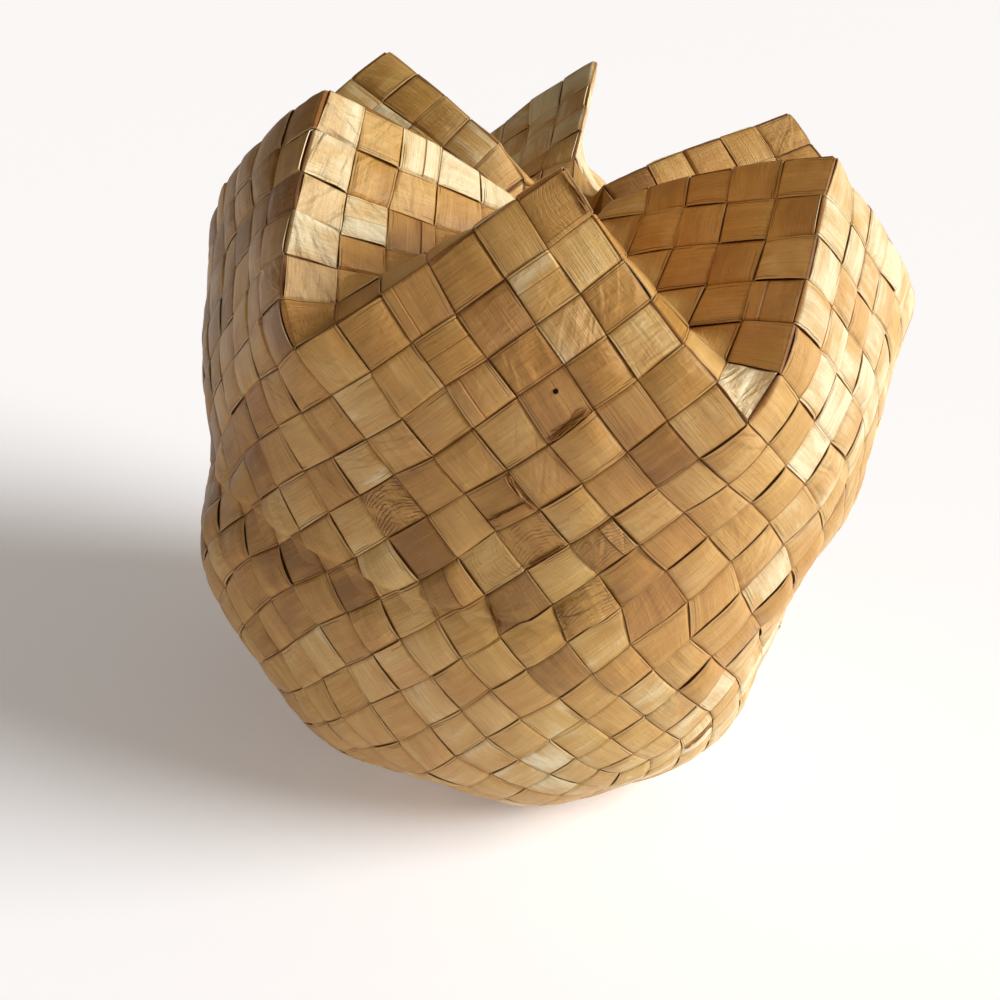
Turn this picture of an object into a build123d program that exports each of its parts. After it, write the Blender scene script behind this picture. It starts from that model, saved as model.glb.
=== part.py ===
from build123d import *
import os
import math
import numpy as np

# ---- driving sizes, mm -------------------------------------------------
STRIP_W = 16.0          # width of one leaf strip = side of one weave cell
COLS = 36               # cell diagonals around the wall (6 per point)
POINTS = 6              # raised points around the top
SIDE = 6                # cells along each fold edge and each ridge
WALL_ROWS = 7           # rows of the wall below the valley level
BASE_N = COLS // 4      # cell diagonals along each side of the square base

# ---- key points of the form, in strip widths: radius, azimuth (deg), z --
APEX = [(5.79, -88.9, 3.80), (5.90, -27.6, 4.20), (5.62, 30.9, 4.03),
        (5.62, 88.8, 4.12), (5.62, 149.6, 4.02), (5.70, -151.0, 3.98)]
VALLEY = [(8.10, -120.0, 0.25), (8.08, -60.2, 0.10), (7.95, 0.8, 0.80),
          (8.05, 60.2, -0.30), (8.10, 119.1, 0.10), (7.75, 178.8, 0.10)]
EDGE_BULGE = [0.10, 0.28, 0.15, 0.05, 0.10, 0.30]
FACE_BULGE = [0.30, 0.30, 0.25, 0.25, 0.25, 0.30]
CENTRE = (-0.02, -0.05, 1.75)
RING_R, RING_Z = 1.12, 1.72       # ends of the ridges round the mouth
MOUTH_VALLEY_R, MOUTH_VALLEY_Z = 1.30, 1.55
MOUTH_LIP_R, MOUTH_LIP_Z = 1.00, 0.20
# wall rows below the valley level: radius and z of the round belly
ROW_R = [7.70, 7.55, 7.42, 7.34, 7.36, 7.05, 6.68, 6.15]
ROW_Z = [0.00, -1.45, -2.68, -3.90, -5.00, -6.25, -7.50, -8.62]
ROW_CX = [0.0, -0.02, -0.04, -0.08, -0.26, -0.34, -0.18, 0.04]
# the bowl from the last wall row to the middle of the base
BASE_PROFILE = [(6.15, -8.62), (5.62, -9.65), (4.55, -10.50), (3.40, -10.95), (2.20, -11.10), (0.0, -11.10)]
BASE_Z = -11.10

# offsets of measured corners from the regular form, in hundredths of a strip
# width: column and row (or point, side, i, j, or place in the base), then x, y, z
WALL_OFFSETS = [
    (0, -6, -13, 7, 25), (0, -4, -10, 9, 27), (0, -2, -6, 10, 16), (0, 0, -9, 4, -8),
    (1, -11, -17, 15, -14), (1, -7, -7, 3, 11), (1, -5, -12, 5, 24), (1, -3, -7, 3, 14),
    (1, -1, -4, 2, -3), (1, 1, -11, -2, -14), (2, -12, -37, 14, -38), (2, -10, -9, 13, -16),
    (2, -8, -2, 6, -2), (2, -6, -7, 4, 14), (2, -4, -11, 1, 16), (2, -2, 0, 0, 0),
    (2, 0, -1, -5, -22), (2, 2, -7, -4, -13), (3, -11, -22, 18, -35), (3, -9, -5, 7, -25),
    (3, -7, -10, 0, -6), (3, -5, -9, 0, 10), (3, -3, -8, 1, 12), (3, -1, 1, -4, -15),
    (3, 1, -3, -7, -23), (3, 3, -3, -4, -7), (4, -12, -28, 19, -59), (4, -10, -11, 16, -40),
    (4, -8, -10, 3, -28), (4, -6, -2, 2, 1), (4, -4, -4, 2, 12), (4, -2, -1, 1, 2),
    (4, 0, 2, -7, -24), (4, 2, -2, -9, -23), (4, 4, -1, -2, -2), (5, -13, -31, 15, -78),
    (5, -11, -15, 20, -55), (5, -9, -5, 9, -46), (5, -7, -18, -1, -24), (5, -5, 0, 0, 4),
    (5, -3, -5, 1, 8), (5, -1, -3, 0, -4), (5, 1, 3, -9, -27), (5, 3, 4, -5, -10),
    (5, 5, -1, -2, -1), (6, -12, -22, 20, -70), (6, -10, -5, 16, -59), (6, -8, -15, 4, -44),
    (6, -6, -2, 3, -5), (6, -4, -6, 0, 6), (6, -2, -1, 0, 2), (6, 0, -5, -7, -20),
    (6, 2, 6, -6, -17), (6, 4, 1, -5, -10), (6, 6, -1, 1, 6), (7, -9, -9, 11, -57),
    (7, -7, -22, -3, -38), (7, -5, -3, 1, 1), (7, -3, 0, -1, 1), (7, -1, -5, -3, -10),
    (7, 1, -1, -4, -12), (7, 3, 4, -7, -15), (7, 5, -1, -3, -4), (8, -10, -4, 16, -69),
    (8, -8, -13, 4, -53), (8, -6, -3, 4, -7), (8, -4, 0, -1, 1), (8, -2, -1, -1, 0),
    (8, 0, 0, -7, -20), (8, 2, -4, -5, -13), (8, 4, -3, -4, -8), (9, -11, 5, 23, -71),
    (9, -9, 3, 13, -66), (9, -7, -19, -1, -41), (9, -3, 0, -2, 2), (9, -1, 1, -2, -5),
    (9, 1, -3, -6, -18), (9, 3, -4, -2, -5), (10, -10, 5, 21, -71), (10, -8, -9, 6, -59),
    (10, -6, 1, 5, -7), (10, -4, 1, -1, 7), (10, -2, 3, 1, 8), (10, 0, -3, -4, -15),
    (10, 2, -3, 0, -5), (11, -11, 17, 27, -77), (11, -9, 4, 18, -69), (11, -7, -17, 0, -48),
    (11, -3, 3, 5, 19), (11, -1, -1, 1, -1), (11, 1, 4, 4, 0), (12, -10, 19, 26, -76),
    (12, -8, -7, 12, -65), (12, -6, 12, 12, -3), (12, -4, 9, 11, 22), (12, -2, 7, 11, 19),
    (12, 0, 5, 8, 1), (13, -11, 27, 29, -81), (13, -9, 18, 21, -74), (13, -7, -11, 7, -53),
    (13, -5, 23, 18, 14), (13, -3, 22, 18, 23), (13, -1, 21, 16, 12), (13, 1, 21, 12, 4),
    (14, -10, 29, 26, -76), (14, -4, 31, 28, 22), (14, -2, 31, 28, 22), (14, 0, 25, 17, 0),
    (14, 2, 8, 15, 10), (15, -5, 35, 36, 20), (15, -3, 45, 39, 25), (15, -1, 31, 33, 17),
    (15, 1, 21, 18, 10), (15, 3, -5, 11, 8), (16, -12, 18, 32, -41), (16, -4, 52, 40, 16),
    (16, -2, 42, 44, 28), (16, 0, 27, 25, 9), (16, 2, 2, 10, 7), (16, 4, -10, 6, 10),
    (17, -3, 51, 52, 39), (17, -1, 36, 42, 30), (17, 1, 5, 17, 8), (17, 3, -14, 2, 4),
    (17, 5, -14, 2, 6), (18, -8, 15, 33, -8), (18, -6, 17, 42, 13), (18, -2, 43, 50, 41),
    (18, 0, 17, 26, 13), (18, 2, -13, 4, 2), (18, 4, -24, -3, 1), (18, 6, -6, -3, 0),
    (19, -13, 21, 16, -6), (19, -7, 0, 38, 13), (19, -1, 22, 39, 36), (19, 1, -1, 12, 6),
    (19, 3, -24, -1, 6), (19, 5, -21, -7, -5), (20, -14, 29, 6, -4), (20, -12, 1, 18, -2),
    (20, -10, 5, 22, -3), (20, -8, -3, 29, 7), (20, -6, 10, 35, 16), (20, 0, 13, 18, 10),
    (20, 2, -13, 3, 5), (20, 4, -15, -3, 5), (21, -13, 5, 10, 3), (21, -7, -3, 28, 14),
    (21, -5, 14, 32, 18), (21, -3, 24, 31, 24), (21, 1, 1, 11, 13), (21, 3, -12, -1, 1),
    (22, -4, 17, 22, 15), (22, -2, 13, 20, 12), (22, 2, -5, 3, -2), (23, -5, 16, 17, 10),
    (23, -1, 2, 11, 3), (23, 1, 1, 6, 2), (24, 0, -3, 6, -2), (26, 2, -2, 0, -1),
    (28, 2, 0, 0, -1), (29, 5, -12, -1, -5), (30, 6, -10, 0, -3), (38, 2, -81, -13, -20),
    (39, 1, -9, -8, -16), (39, 3, -76, -22, -43), (40, 2, -111, -28, -50), (40, 4, -21, -5, -12),
    (41, 1, -101, -29, -52), (41, 3, -54, -14, -27), (41, 5, -4, 2, -2), (42, 6, -1, 4, 1),
    (43, 5, -9, 5, 6), (44, 4, -14, 5, 7), (45, 3, -9, 4, 5), (51, 3, 5, 2, -2),
    (54, 6, 23, 8, 2), (55, 5, 3, 3, -1), (58, -12, 1, 4, -1), (58, -10, 1, 6, 0),
    (58, -2, 0, 1, -1), (58, 0, -2, -1, -3), (60, -12, 1, 7, 0), (60, -10, 2, 11, 3),
    (60, -2, -2, 3, 1), (60, 0, -2, 1, -3), (61, -9, 9, 16, 5), (61, 1, -8, 1, -1),
    (62, -12, -1, 8, 1), (62, -8, 18, 22, 9), (62, -4, -13, 9, 9), (62, 0, -4, 3, -1),
    (62, 2, -15, 1, 0), (63, -9, 15, 20, 9), (63, -5, -17, 13, 13), (63, -3, -16, 10, 10),
    (63, 3, -10, -2, -5), (64, -8, 15, 23, 15), (64, -6, -11, 17, 18), (64, -4, -21, 15, 16),
    (64, 4, -7, -3, -4), (65, -11, -12, 10, 6), (65, -9, -2, 16, 14), (65, -5, -20, 19, 21),
    (65, 3, -3, -5, -13), (65, 5, 5, 2, 8), (66, -12, -9, 8, 7), (66, -10, -20, 11, 11),
    (66, -2, -12, 21, 19), (66, 2, 9, 5, 6), (66, 4, 15, -1, 2), (66, 6, 20, 1, 4),
    (67, -13, -10, 7, 5), (67, 3, 8, -3, -8), (67, 5, 13, -3, 1), (68, 2, -5, 4, 4),
    (69, -3, -29, 23, 34), (69, -1, -25, 17, 14), (69, 3, 0, 0, -4), (70, -6, -17, 19, 41),
    (70, -4, -25, 19, 38), (70, -2, -26, 21, 29), (70, 0, -30, 8, 2), (70, 2, -16, 1, -7),
    (71, -7, -14, 8, 22), (71, -5, -20, 10, 31), (71, -3, -16, 13, 27), (71, -1, -16, 10, 5),
    (71, 1, -29, 3, -6),
]
PANEL_OFFSETS = [
    (0, -1, 0, 2, 1, 5, 5), (0, -1, 0, 4, 8, 13, 7), (0, -1, 1, 3, -3, 6, 4),
    (0, -1, 1, 5, -2, 12, 7), (0, -1, 4, 2, -32, 8, 27), (0, -1, 5, 1, -31, 10, 25),
    (0, 1, 1, 3, 11, 12, 8), (0, 1, 2, 2, 9, 9, 9), (1, -1, 0, 1, -8, 4, 11),
    (1, -1, 0, 2, -14, 9, 10), (1, -1, 0, 3, -4, 15, 16), (1, -1, 0, 4, -1, 21, 27),
    (1, -1, 1, 1, -7, 8, 14), (1, -1, 1, 2, -3, 15, 21), (1, -1, 1, 3, 11, 21, 30),
    (1, -1, 1, 4, 24, 24, 32), (1, -1, 2, 1, -2, 12, 15), (1, -1, 2, 2, 8, 17, 20),
    (1, -1, 2, 3, 18, 21, 28), (1, -1, 3, 1, 4, 16, 18), (1, -1, 3, 2, 17, 19, 25),
    (1, -1, 4, 1, 17, 18, 25), (1, -1, 5, 1, 27, 20, 36), (2, -1, 0, 2, -1, 10, 11),
    (2, -1, 0, 3, 0, 16, 20), (2, -1, 0, 4, 5, 23, 35), (2, -1, 0, 5, -9, 33, 51),
    (2, -1, 2, 4, -8, 14, 16), (3, -1, 0, 1, -4, 4, -1), (3, -1, 0, 2, -1, 7, 1),
    (3, -1, 0, 3, 2, 11, 5), (3, -1, 0, 4, 0, 16, 9), (3, -1, 0, 5, 4, 20, 15),
    (3, -1, 1, 1, -15, 6, 6), (3, -1, 1, 2, -27, 5, 2), (3, -1, 1, 3, -36, 7, 2),
    (3, -1, 1, 4, -19, 12, 6), (3, -1, 1, 5, -1, 19, 19), (3, -1, 2, 1, -49, -1, -5),
    (3, -1, 2, 2, -71, -4, -11), (3, -1, 2, 3, -51, 1, -5), (3, -1, 2, 4, -21, 11, 10),
    (3, -1, 3, 1, -73, -13, -24), (3, -1, 3, 2, -64, -4, -10), (3, -1, 3, 3, -40, 5, 4),
    (3, 1, 1, 2, 0, 6, 1), (3, 1, 1, 4, 2, 15, 10), (3, 1, 2, 1, -1, 3, -1),
    (3, 1, 2, 3, 1, 9, 4), (3, 1, 3, 2, 1, 4, 0), (4, -1, 0, 1, 21, 10, 8),
    (4, -1, 0, 2, 16, 13, 14), (4, -1, 0, 3, 5, 17, 21), (4, -1, 0, 4, 4, 24, 36),
    (4, -1, 2, 2, 8, 7, 3), (5, -1, 0, 1, 3, -1, 11), (5, -1, 0, 2, -4, 0, 10),
    (5, -1, 1, 4, -5, 10, 13), (5, -1, 2, 3, -5, 4, 8), (5, -1, 5, 1, -4, -1, -4),
    (5, 1, 1, 1, 4, -4, 0), (5, 1, 1, 2, -4, -2, 3), (5, 1, 1, 3, -14, 2, 8),
    (5, 1, 2, 1, -4, -7, -12), (5, 1, 2, 2, -16, -5, -3), (5, 1, 2, 3, -18, 0, 4),
    (5, 1, 3, 1, -13, -5, -10), (5, 1, 3, 2, -22, -1, 3), (5, 1, 4, 1, -22, 2, 2),
]
BASE_OFFSETS = [
    (1, 1, 16, 29, -62), (1, 5, -13, 22, -50), (1, 7, -26, 23, -23), (1, 9, -31, 19, -14),
    (1, 11, -31, 10, -25), (1, 13, -23, 8, -11), (1, 15, -13, 7, 5), (2, 2, 9, 29, -36),
    (2, 4, -2, 21, -49), (2, 6, -17, 19, -33), (2, 8, -24, 20, -10), (2, 10, -27, 12, -17),
    (3, 1, 16, 28, -35), (3, 3, 7, 22, -34), (3, 5, -5, 15, -41), (3, 7, -17, 11, -25),
    (3, 9, -22, 9, -16), (4, 2, 13, 23, -16), (4, 4, 7, 12, -39), (5, 1, 21, 19, -18),
    (5, 3, 14, 14, -19), (6, 2, 24, 10, -20),
]

def polar(r, az, z):
    a = math.radians(az)
    return np.array([r * math.cos(a), r * math.sin(a), z])


def build_net():
    """Vertices and four-sided cells of the diagonal plait.

    A vertices carry whole-number column and row, B vertices half-numbers.
    Each cell is (A, B, A, B), anticlockwise from outside."""
    ids, pos, col = {}, [], []

    def vert(key, p=None, colour=None):
        if key not in ids:
            ids[key] = len(pos)
            pos.append(p)
            col.append(colour)
        elif p is not None and pos[ids[key]] is None:
            pos[ids[key]] = p
        return ids[key]

    P = [polar(*a) for a in APEX]
    V = [polar(*v) for v in VALLEY]
    C = np.array(CENTRE)
    alias = {}

    def canon(key):
        return alias.get(key, key)

    # -- outer faces of the points: ('w', 2c, 2k) -------------------------
    def face_point(t, i, k):
        Vl, Vr = V[t], V[(t + 1) % POINTS]
        mid = (Vl + Vr) / 2
        p = Vl + (Vr - Vl) * (i / 6.0) + (P[t] - mid) * (k / 3.0)
        n = np.cross(Vr - Vl, P[t] - mid)
        n /= np.linalg.norm(n)
        # along the fold edges the bulge dies out at both ends
        left = i - k
        right = 6 - i - k
        s = k / 3.0
        edge = math.sin(math.pi * s) if 0 < s < 1 else 0.0
        across = 0.0
        width = 6 - 2 * k
        if width > 0:
            across = math.sin(math.pi * left / width)
        b = EDGE_BULGE[t] * edge + FACE_BULGE[t] * across * (1 - 0.55 * s)
        q = p + n * b
        if t == 3:
            # the back point has its far fold pushed in
            wr = max(0.0, 1 - left / max(width, 1e-6)) * edge
            q = q + np.array([-1.35, 0.35, 0.0]) * wr
        return q

    for t in range(POINTS):
        for k2 in range(0, 7):
            k = k2 / 2.0
            lo, hi = k, 6 - k
            i = lo
            while i <= hi + 1e-9:
                key = ('w', int(round(2 * (6 * t + i))) % (2 * COLS), k2)
                vert(key, face_point(t, i, k), k2 % 2)
                i += 1.0
    # -- wall rows ---------------------------------------------------------
    for r2 in range(1, 2 * WALL_ROWS + 1):
        k2 = -r2
        rr = np.interp(r2 / 2.0, range(WALL_ROWS + 1), ROW_R)
        zz = np.interp(r2 / 2.0, range(WALL_ROWS + 1), ROW_Z)
        cx = np.interp(r2 / 2.0, range(WALL_ROWS + 1), ROW_CX)
        s = [0.0, 0.24, 0.44, 0.60, 0.74, 0.85, 0.93, 0.98, 1.0][min(r2, 8)]
        for c2 in range(r2 % 2, 2 * COLS, 2):
            c = c2 / 2.0
            t = int(c // 6)
            i = c - 6 * t
            Vl, Vr = V[t % POINTS], V[(t + 1) % POINTS]
            ph = Vl + (Vr - Vl) * (i / 6.0)
            n = np.array([ph[0], ph[1], 0.0])
            n /= np.linalg.norm(n)
            ph = ph + n * FACE_BULGE[t % POINTS] * math.sin(math.pi * i / 6.0)
            az = -120.0 + 10.0 * c
            row = r2 / 2.0
            d180 = (az - 185.0 + 180.0) % 360.0 - 180.0
            d0 = (az + 10.0 + 180.0) % 360.0 - 180.0
            bump = (-0.30 * math.exp(-((row - 3.0) / 1.0) ** 2)
                    + 0.50 * math.exp(-((row - 6.2) / 1.1) ** 2)) * math.exp(-(d180 / 40.0) ** 2)
            bump += (0.20 * math.exp(-((row - 3.0) / 0.7) ** 2)
                     - 0.30 * math.exp(-((row - 4.8) / 0.9) ** 2)) * math.exp(-(d0 / 32.0) ** 2)
            zz2 = zz - 0.55 * math.exp(-(d180 / 55.0) ** 2) * min(1.0, max(0.0, (row - 1.0) / 2.5))
            pc = polar(rr + bump, az, 0.0) + np.array([cx, 0.0, 0.0])
            hor = ph[:2] * (1 - s) + pc[:2] * s
            vert(('w', c2, k2), np.array([hor[0], hor[1], zz2 + (ph[2]) * (1 - s)]), r2 % 2)
    # -- base: square plait, its corners at columns 6, 15, 24, 33 ----------
    N = BASE_N

    def ring_key(gx, gy):
        if gy == 0:
            c = 6 + gx
        elif gx == N:
            c = 15 + gy
        elif gy == N:
            c = 24 + (N - gx)
        else:
            c = 33 + (N - gy)
        return ('w', (2 * c) % (2 * COLS), -2 * WALL_ROWS)

    def base_point(gx, gy):
        # square to disc, then onto the lower bowl
        x = 2.0 * gx / N - 1.0
        y = 2.0 * gy / N - 1.0
        m = max(abs(x), abs(y))
        if m < 1e-9:
            return np.array([0.0, 0.0, BASE_Z])
        # angle measured so that (gx=0,gy=0) is column 6
        if y == -m:
            ang = (x / m + 1) / 2 * 90.0
        elif x == m:
            ang = 90.0 + (y / m + 1) / 2 * 90.0
        elif y == m:
            ang = 180.0 + (1 - (x / m + 1) / 2) * 90.0
        else:
            ang = 270.0 + (1 - (y / m + 1) / 2) * 90.0
        az = -60.0 + ang
        pr = np.array(BASE_PROFILE)
        seg = np.r_[0.0, np.cumsum(np.linalg.norm(np.diff(pr, axis=0), axis=1))]
        s = (1.0 - m) * seg[-1]
        r = np.interp(s, seg, pr[:, 0])
        z = np.interp(s, seg, pr[:, 1])
        return polar(r, az, z)

    for gx2 in range(0, 2 * N + 1):
        for gy2 in range(0, 2 * N + 1):
            if (gx2 + gy2) % 2:
                continue
            gx, gy = gx2 / 2.0, gy2 / 2.0
            if gx2 % 2 == 0:
                if gx in (0, N) or gy in (0, N):
                    alias[('b', gx2, gy2)] = ring_key(gx, gy)
                else:
                    vert(('b', gx2, gy2), base_point(gx, gy), 0)
            else:
                vert(('b', gx2, gy2), base_point(gx, gy), 1)
    # -- inner panels -------------------------------------------------------
    # key ('p', t, side, i, j); side -1 towards valley t, +1 towards valley t+1
    ring = []
    for t in range(POINTS):
        az = APEX[t][1]
        ring.append(polar(RING_R, az, RING_Z) + np.array([C[0], C[1], 0]))
    for t in range(POINTS):
        for side in (-1, 1):
            vt = t if side < 0 else (t + 1) % POINTS
            mv = polar(MOUTH_VALLEY_R, VALLEY[vt][1], MOUTH_VALLEY_Z) + np.array([C[0], C[1], 0])
            for i in range(0, 7):
                for j in range(0, 7 - i):
                    key = ('p', t, side, i, j)
                    if j == 0:
                        c2 = (2 * (6 * t + 3) + side * i) % (2 * COLS)
                        alias[key] = ('w', c2, 6 - i)
                        continue
                    if i == 0 and j == 6:
                        alias[key] = ('C',)
                        continue
                    if i == 0 and side == 1:
                        alias[key] = ('p', t, -1, 0, j)
                        continue
                    if i + j == 6 and side == 1:
                        alias[key] = ('p', (t + 1) % POINTS, -1, i, j)
                        continue
                    # affine panel
                    lin = P[t] + (V[vt] - P[t]) * (i / 6.0) + (C - P[t]) * (j / 6.0)
                    # fold-edge bulge carried into the panel
                    fe = pos[ids[('w', (2 * (6 * t + 3) + side * i) % (2 * COLS), 6 - i)]]
                    off0 = fe - (P[t] + (V[vt] - P[t]) * (i / 6.0))
                    w0 = max(0.0, 1 - j / max(1.0, 6.0 - i))
                    p = lin + off0 * w0
                    # ends near the mouth
                    lin_r = P[t] + (C - P[t]) * (5 / 6.0)
                    lin_v = V[vt] + (C - V[vt]) * (5 / 6.0)
                    if j >= 3:
                        wr = max(0.0, (j - 2) / 3.0) ** 2 * max(0.0, 1 - i / 1.0)
                        wv = max(0.0, (j - 2) / 3.0) ** 2 * min(1.0, i / 1.0)
                        p = p + (ring[t] - lin_r) * wr + (mv - lin_v) * wv
                    vert(key, p, (i + j) % 2)
    for t in range(POINTS):
        az = VALLEY[t][1]
        vert(('Cm', t), polar(MOUTH_LIP_R, az, MOUTH_LIP_Z) + np.array([C[0], C[1], 0]), 0)
    vert(('C',), C, 0)

    cells = []   # (keys, crease, kind)

    def add_cell(keys, kind, crease=None, mouth=None):
        q = [ids[canon(k)] for k in keys]
        if col[q[0]] == 1:
            q = q[1:] + q[:1]
            crease = None if crease is None else 1 - crease
        cells.append(dict(v=q, kind=kind, crease=crease, mouth=mouth, name=keys))

    for k2 in range(-2 * WALL_ROWS, 1, 2):
        for c in range(COLS):
            c2 = 2 * c
            if k2 == -2 * WALL_ROWS:
                low = None
                side, st = divmod((c - 6) % COLS, N)
                if side == 0:
                    low = ('b', 2 * st + 1, 1)
                elif side == 1:
                    low = ('b', 2 * N - 1, 2 * st + 1)
                elif side == 2:
                    low = ('b', 2 * (N - st) - 1, 2 * N - 1)
                else:
                    low = ('b', 1, 2 * (N - st) - 1)
            else:
                low = ('w', (c2 + 1) % (2 * COLS), k2 - 1)
            add_cell([('w', c2, k2), low, ('w', (c2 + 2) % (2 * COLS), k2),
                      ('w', (c2 + 1) % (2 * COLS), k2 + 1)], 'wall')
            if k2 < 0:
                add_cell([('w', c2, k2), ('w', (c2 + 1) % (2 * COLS), k2 + 1),
                          ('w', c2, k2 + 2), ('w', (c2 - 1) % (2 * COLS), k2 + 1)], 'wall')
    for t in range(POINTS):
        for k in range(0, 3):
            for i in range(k + 1, 6 - k):
                c2 = 2 * (6 * t + i)
                add_cell([('w', c2, 2 * k), ('w', (c2 + 1) % (2 * COLS), 2 * k + 1),
                          ('w', c2, 2 * k + 2), ('w', (c2 - 1) % (2 * COLS), 2 * k + 1)], 'face')
            if k > 0:
                for i in range(k, 6 - k):
                    c2 = 2 * (6 * t + i)
                    add_cell([('w', c2, 2 * k), ('w', c2 + 1, 2 * k - 1),
                              ('w', c2 + 2, 2 * k), ('w', c2 + 1, 2 * k + 1)], 'face')
        for side in (-1, 1):
            for i in range(0, 5):
                for j in range(0, 5 - i):
                    q = [('p', t, side, i, j), ('p', t, side, i + 1, j),
                         ('p', t, side, i + 1, j + 1), ('p', t, side, i, j + 1)]
                    if side < 0:
                        q = q[::-1]
                    add_cell(q, 'panel')
        # valley cells between point t-1 (its right panel) and point t (left)
        for m in range(0, 6):
            tp = (t - 1) % POINTS
            q = [('p', t, -1, 6 - m, m), ('p', t, -1, 5 - m, m),
                 ('p', t, -1, 5 - m, m + 1), ('p', tp, 1, 5 - m, m)]
            add_cell(q, 'valley', crease=(0 if m < 5 else None), mouth=(t if m == 5 else None))
    for gx in range(0, N + 1):
        for gy in range(0, N + 1):
            # cells on inner grid lines
            if gx < N and 0 < gy < N:
                add_cell([('b', 2 * gx, 2 * gy), ('b', 2 * gx + 1, 2 * gy + 1),
                          ('b', 2 * gx + 2, 2 * gy), ('b', 2 * gx + 1, 2 * gy - 1)], 'base')
            if gy < N and 0 < gx < N:
                add_cell([('b', 2 * gx, 2 * gy), ('b', 2 * gx - 1, 2 * gy + 1),
                          ('b', 2 * gx, 2 * gy + 2), ('b', 2 * gx + 1, 2 * gy + 1)], 'base')
    X = np.array(pos)
    X = settle(relax(X, ids, cells), ids, cells)
    return X, np.array(col), cells, ids, alias


def relax(X, ids, cells):
    """Evens out the cells of the bowl and base on the bowl's own profile."""
    free = np.zeros(len(X), bool)
    for key, i in ids.items():
        if key[0] == 'b' or (key[0] == 'w' and key[2] <= -10):
            free[i] = True
    E = set()
    for c in cells:
        for a in range(4):
            e = tuple(sorted((c['v'][a], c['v'][(a + 1) % 4])))
            if free[e[0]] or free[e[1]]:
                E.add(e)
    E = np.array(sorted(E))
    prof = [(ROW_R[i], ROW_Z[i]) for i in range(3, WALL_ROWS)] + BASE_PROFILE
    prof = np.array(prof)
    seg = np.r_[0.0, np.cumsum(np.linalg.norm(np.diff(prof, axis=0), axis=1))]
    ss = np.linspace(0, seg[-1], 400)
    pr = np.stack([np.interp(ss, seg, prof[:, 0]), np.interp(ss, seg, prof[:, 1])], 1)
    X = X.copy()
    deg = np.zeros(len(X))
    np.add.at(deg, E[:, 0], 1)
    np.add.at(deg, E[:, 1], 1)
    for it in range(60):
        d = X[E[:, 1]] - X[E[:, 0]]
        L = np.linalg.norm(d, axis=1)
        g = d * (((L - 0.97) / L)[:, None] * 0.12 + 0.05)
        G = np.zeros_like(X)
        np.add.at(G, E[:, 0], g)
        np.add.at(G, E[:, 1], -g)
        X[free] += G[free]
        Y = X[free]
        cx = np.interp(-Y[:, 2], [-z for z in ROW_Z], ROW_CX)
        rho = np.hypot(Y[:, 0] - cx, Y[:, 1])
        # the belly stands out a little further low down on the left side
        dl = (np.degrees(np.arctan2(Y[:, 1], Y[:, 0])) - 195.0 + 180.0) % 360.0 - 180.0
        out = (0.32 * np.exp(-(dl / 42.0) ** 2) * np.exp(-((Y[:, 2] + 8.2) / 1.9) ** 2)
               * np.clip((rho - 3.2) / 1.6, 0.0, 1.0))
        q = np.stack([rho - out, Y[:, 2]], 1)
        j = ((q[:, None] - pr[None]) ** 2).sum(-1).argmin(1)
        tgt = pr[j].copy()
        k = np.where(tgt[:, 0] < 2.6, 1.0, 0.5)
        tgt[:, 0] += out
        nr = rho + (tgt[:, 0] - rho) * k
        nz = Y[:, 2] + (tgt[:, 1] - Y[:, 2]) * k
        sc = nr / np.maximum(rho, 1e-9)
        Y[:, 0] = cx + (Y[:, 0] - cx) * sc
        Y[:, 1] = Y[:, 1] * sc
        Y[:, 2] = nz
        X[free] = Y
    flat = free & (X[:, 2] < BASE_Z + 0.02)
    X[flat, 2] = BASE_Z
    return X


def settle(X, ids, cells):
    """Moves the measured corners by their offsets and eases the rest after them."""
    n = len(X)
    near = [set() for _ in range(n)]
    for c in cells:
        for a in range(4):
            i, j = c['v'][a], c['v'][(a + 1) % 4]
            near[i].add(j)
            near[j].add(i)
    L = np.zeros((n, n))
    for i in range(n):
        if near[i]:
            L[i, i] = 1.0
            for j in near[i]:
                L[i, j] -= 1.0 / len(near[i])
    flat = X[:, 2] < BASE_Z + 0.02
    w = np.where(flat, 0.01, 0.0004)
    rhs = np.zeros((n, 3))
    measured = [(('w', a, b), d) for a, b, *d in WALL_OFFSETS]
    measured += [(('p', a, b, c, e), d) for a, b, c, e, *d in PANEL_OFFSETS]
    measured += [(('b', a, b), d) for a, b, *d in BASE_OFFSETS]
    for key, d in measured:
        i = ids[key]
        w[i] += 9.0
        rhs[i] += 9.0 * np.array(d) / 100.0
    D = np.linalg.solve(L.T @ L + np.diag(w), rhs)
    D[flat, 2] = 0.0
    for key, i in ids.items():
        if key[0] == 'Cm':
            D[i] = D[ids[('C',)]]
    Y = X + D
    # nothing hangs below the level of the base
    reach = np.hypot(Y[:, 0], Y[:, 1])
    Y[~flat, 2] = np.maximum(Y[~flat, 2], BASE_Z + 0.09 * np.maximum(reach[~flat] - 2.2, 0.0))
    return Y


def cell_points(X, ids, cell):
    """Corner positions; the six cells at the mouth have their own inner corner."""
    p = [X[v] for v in cell['v']]
    if cell['mouth'] is not None:
        c = ids[('C',)]
        p = [X[ids[('Cm', cell['mouth'])]] if v == c else X[v] for v in cell['v']]
    return np.array(p)


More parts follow.
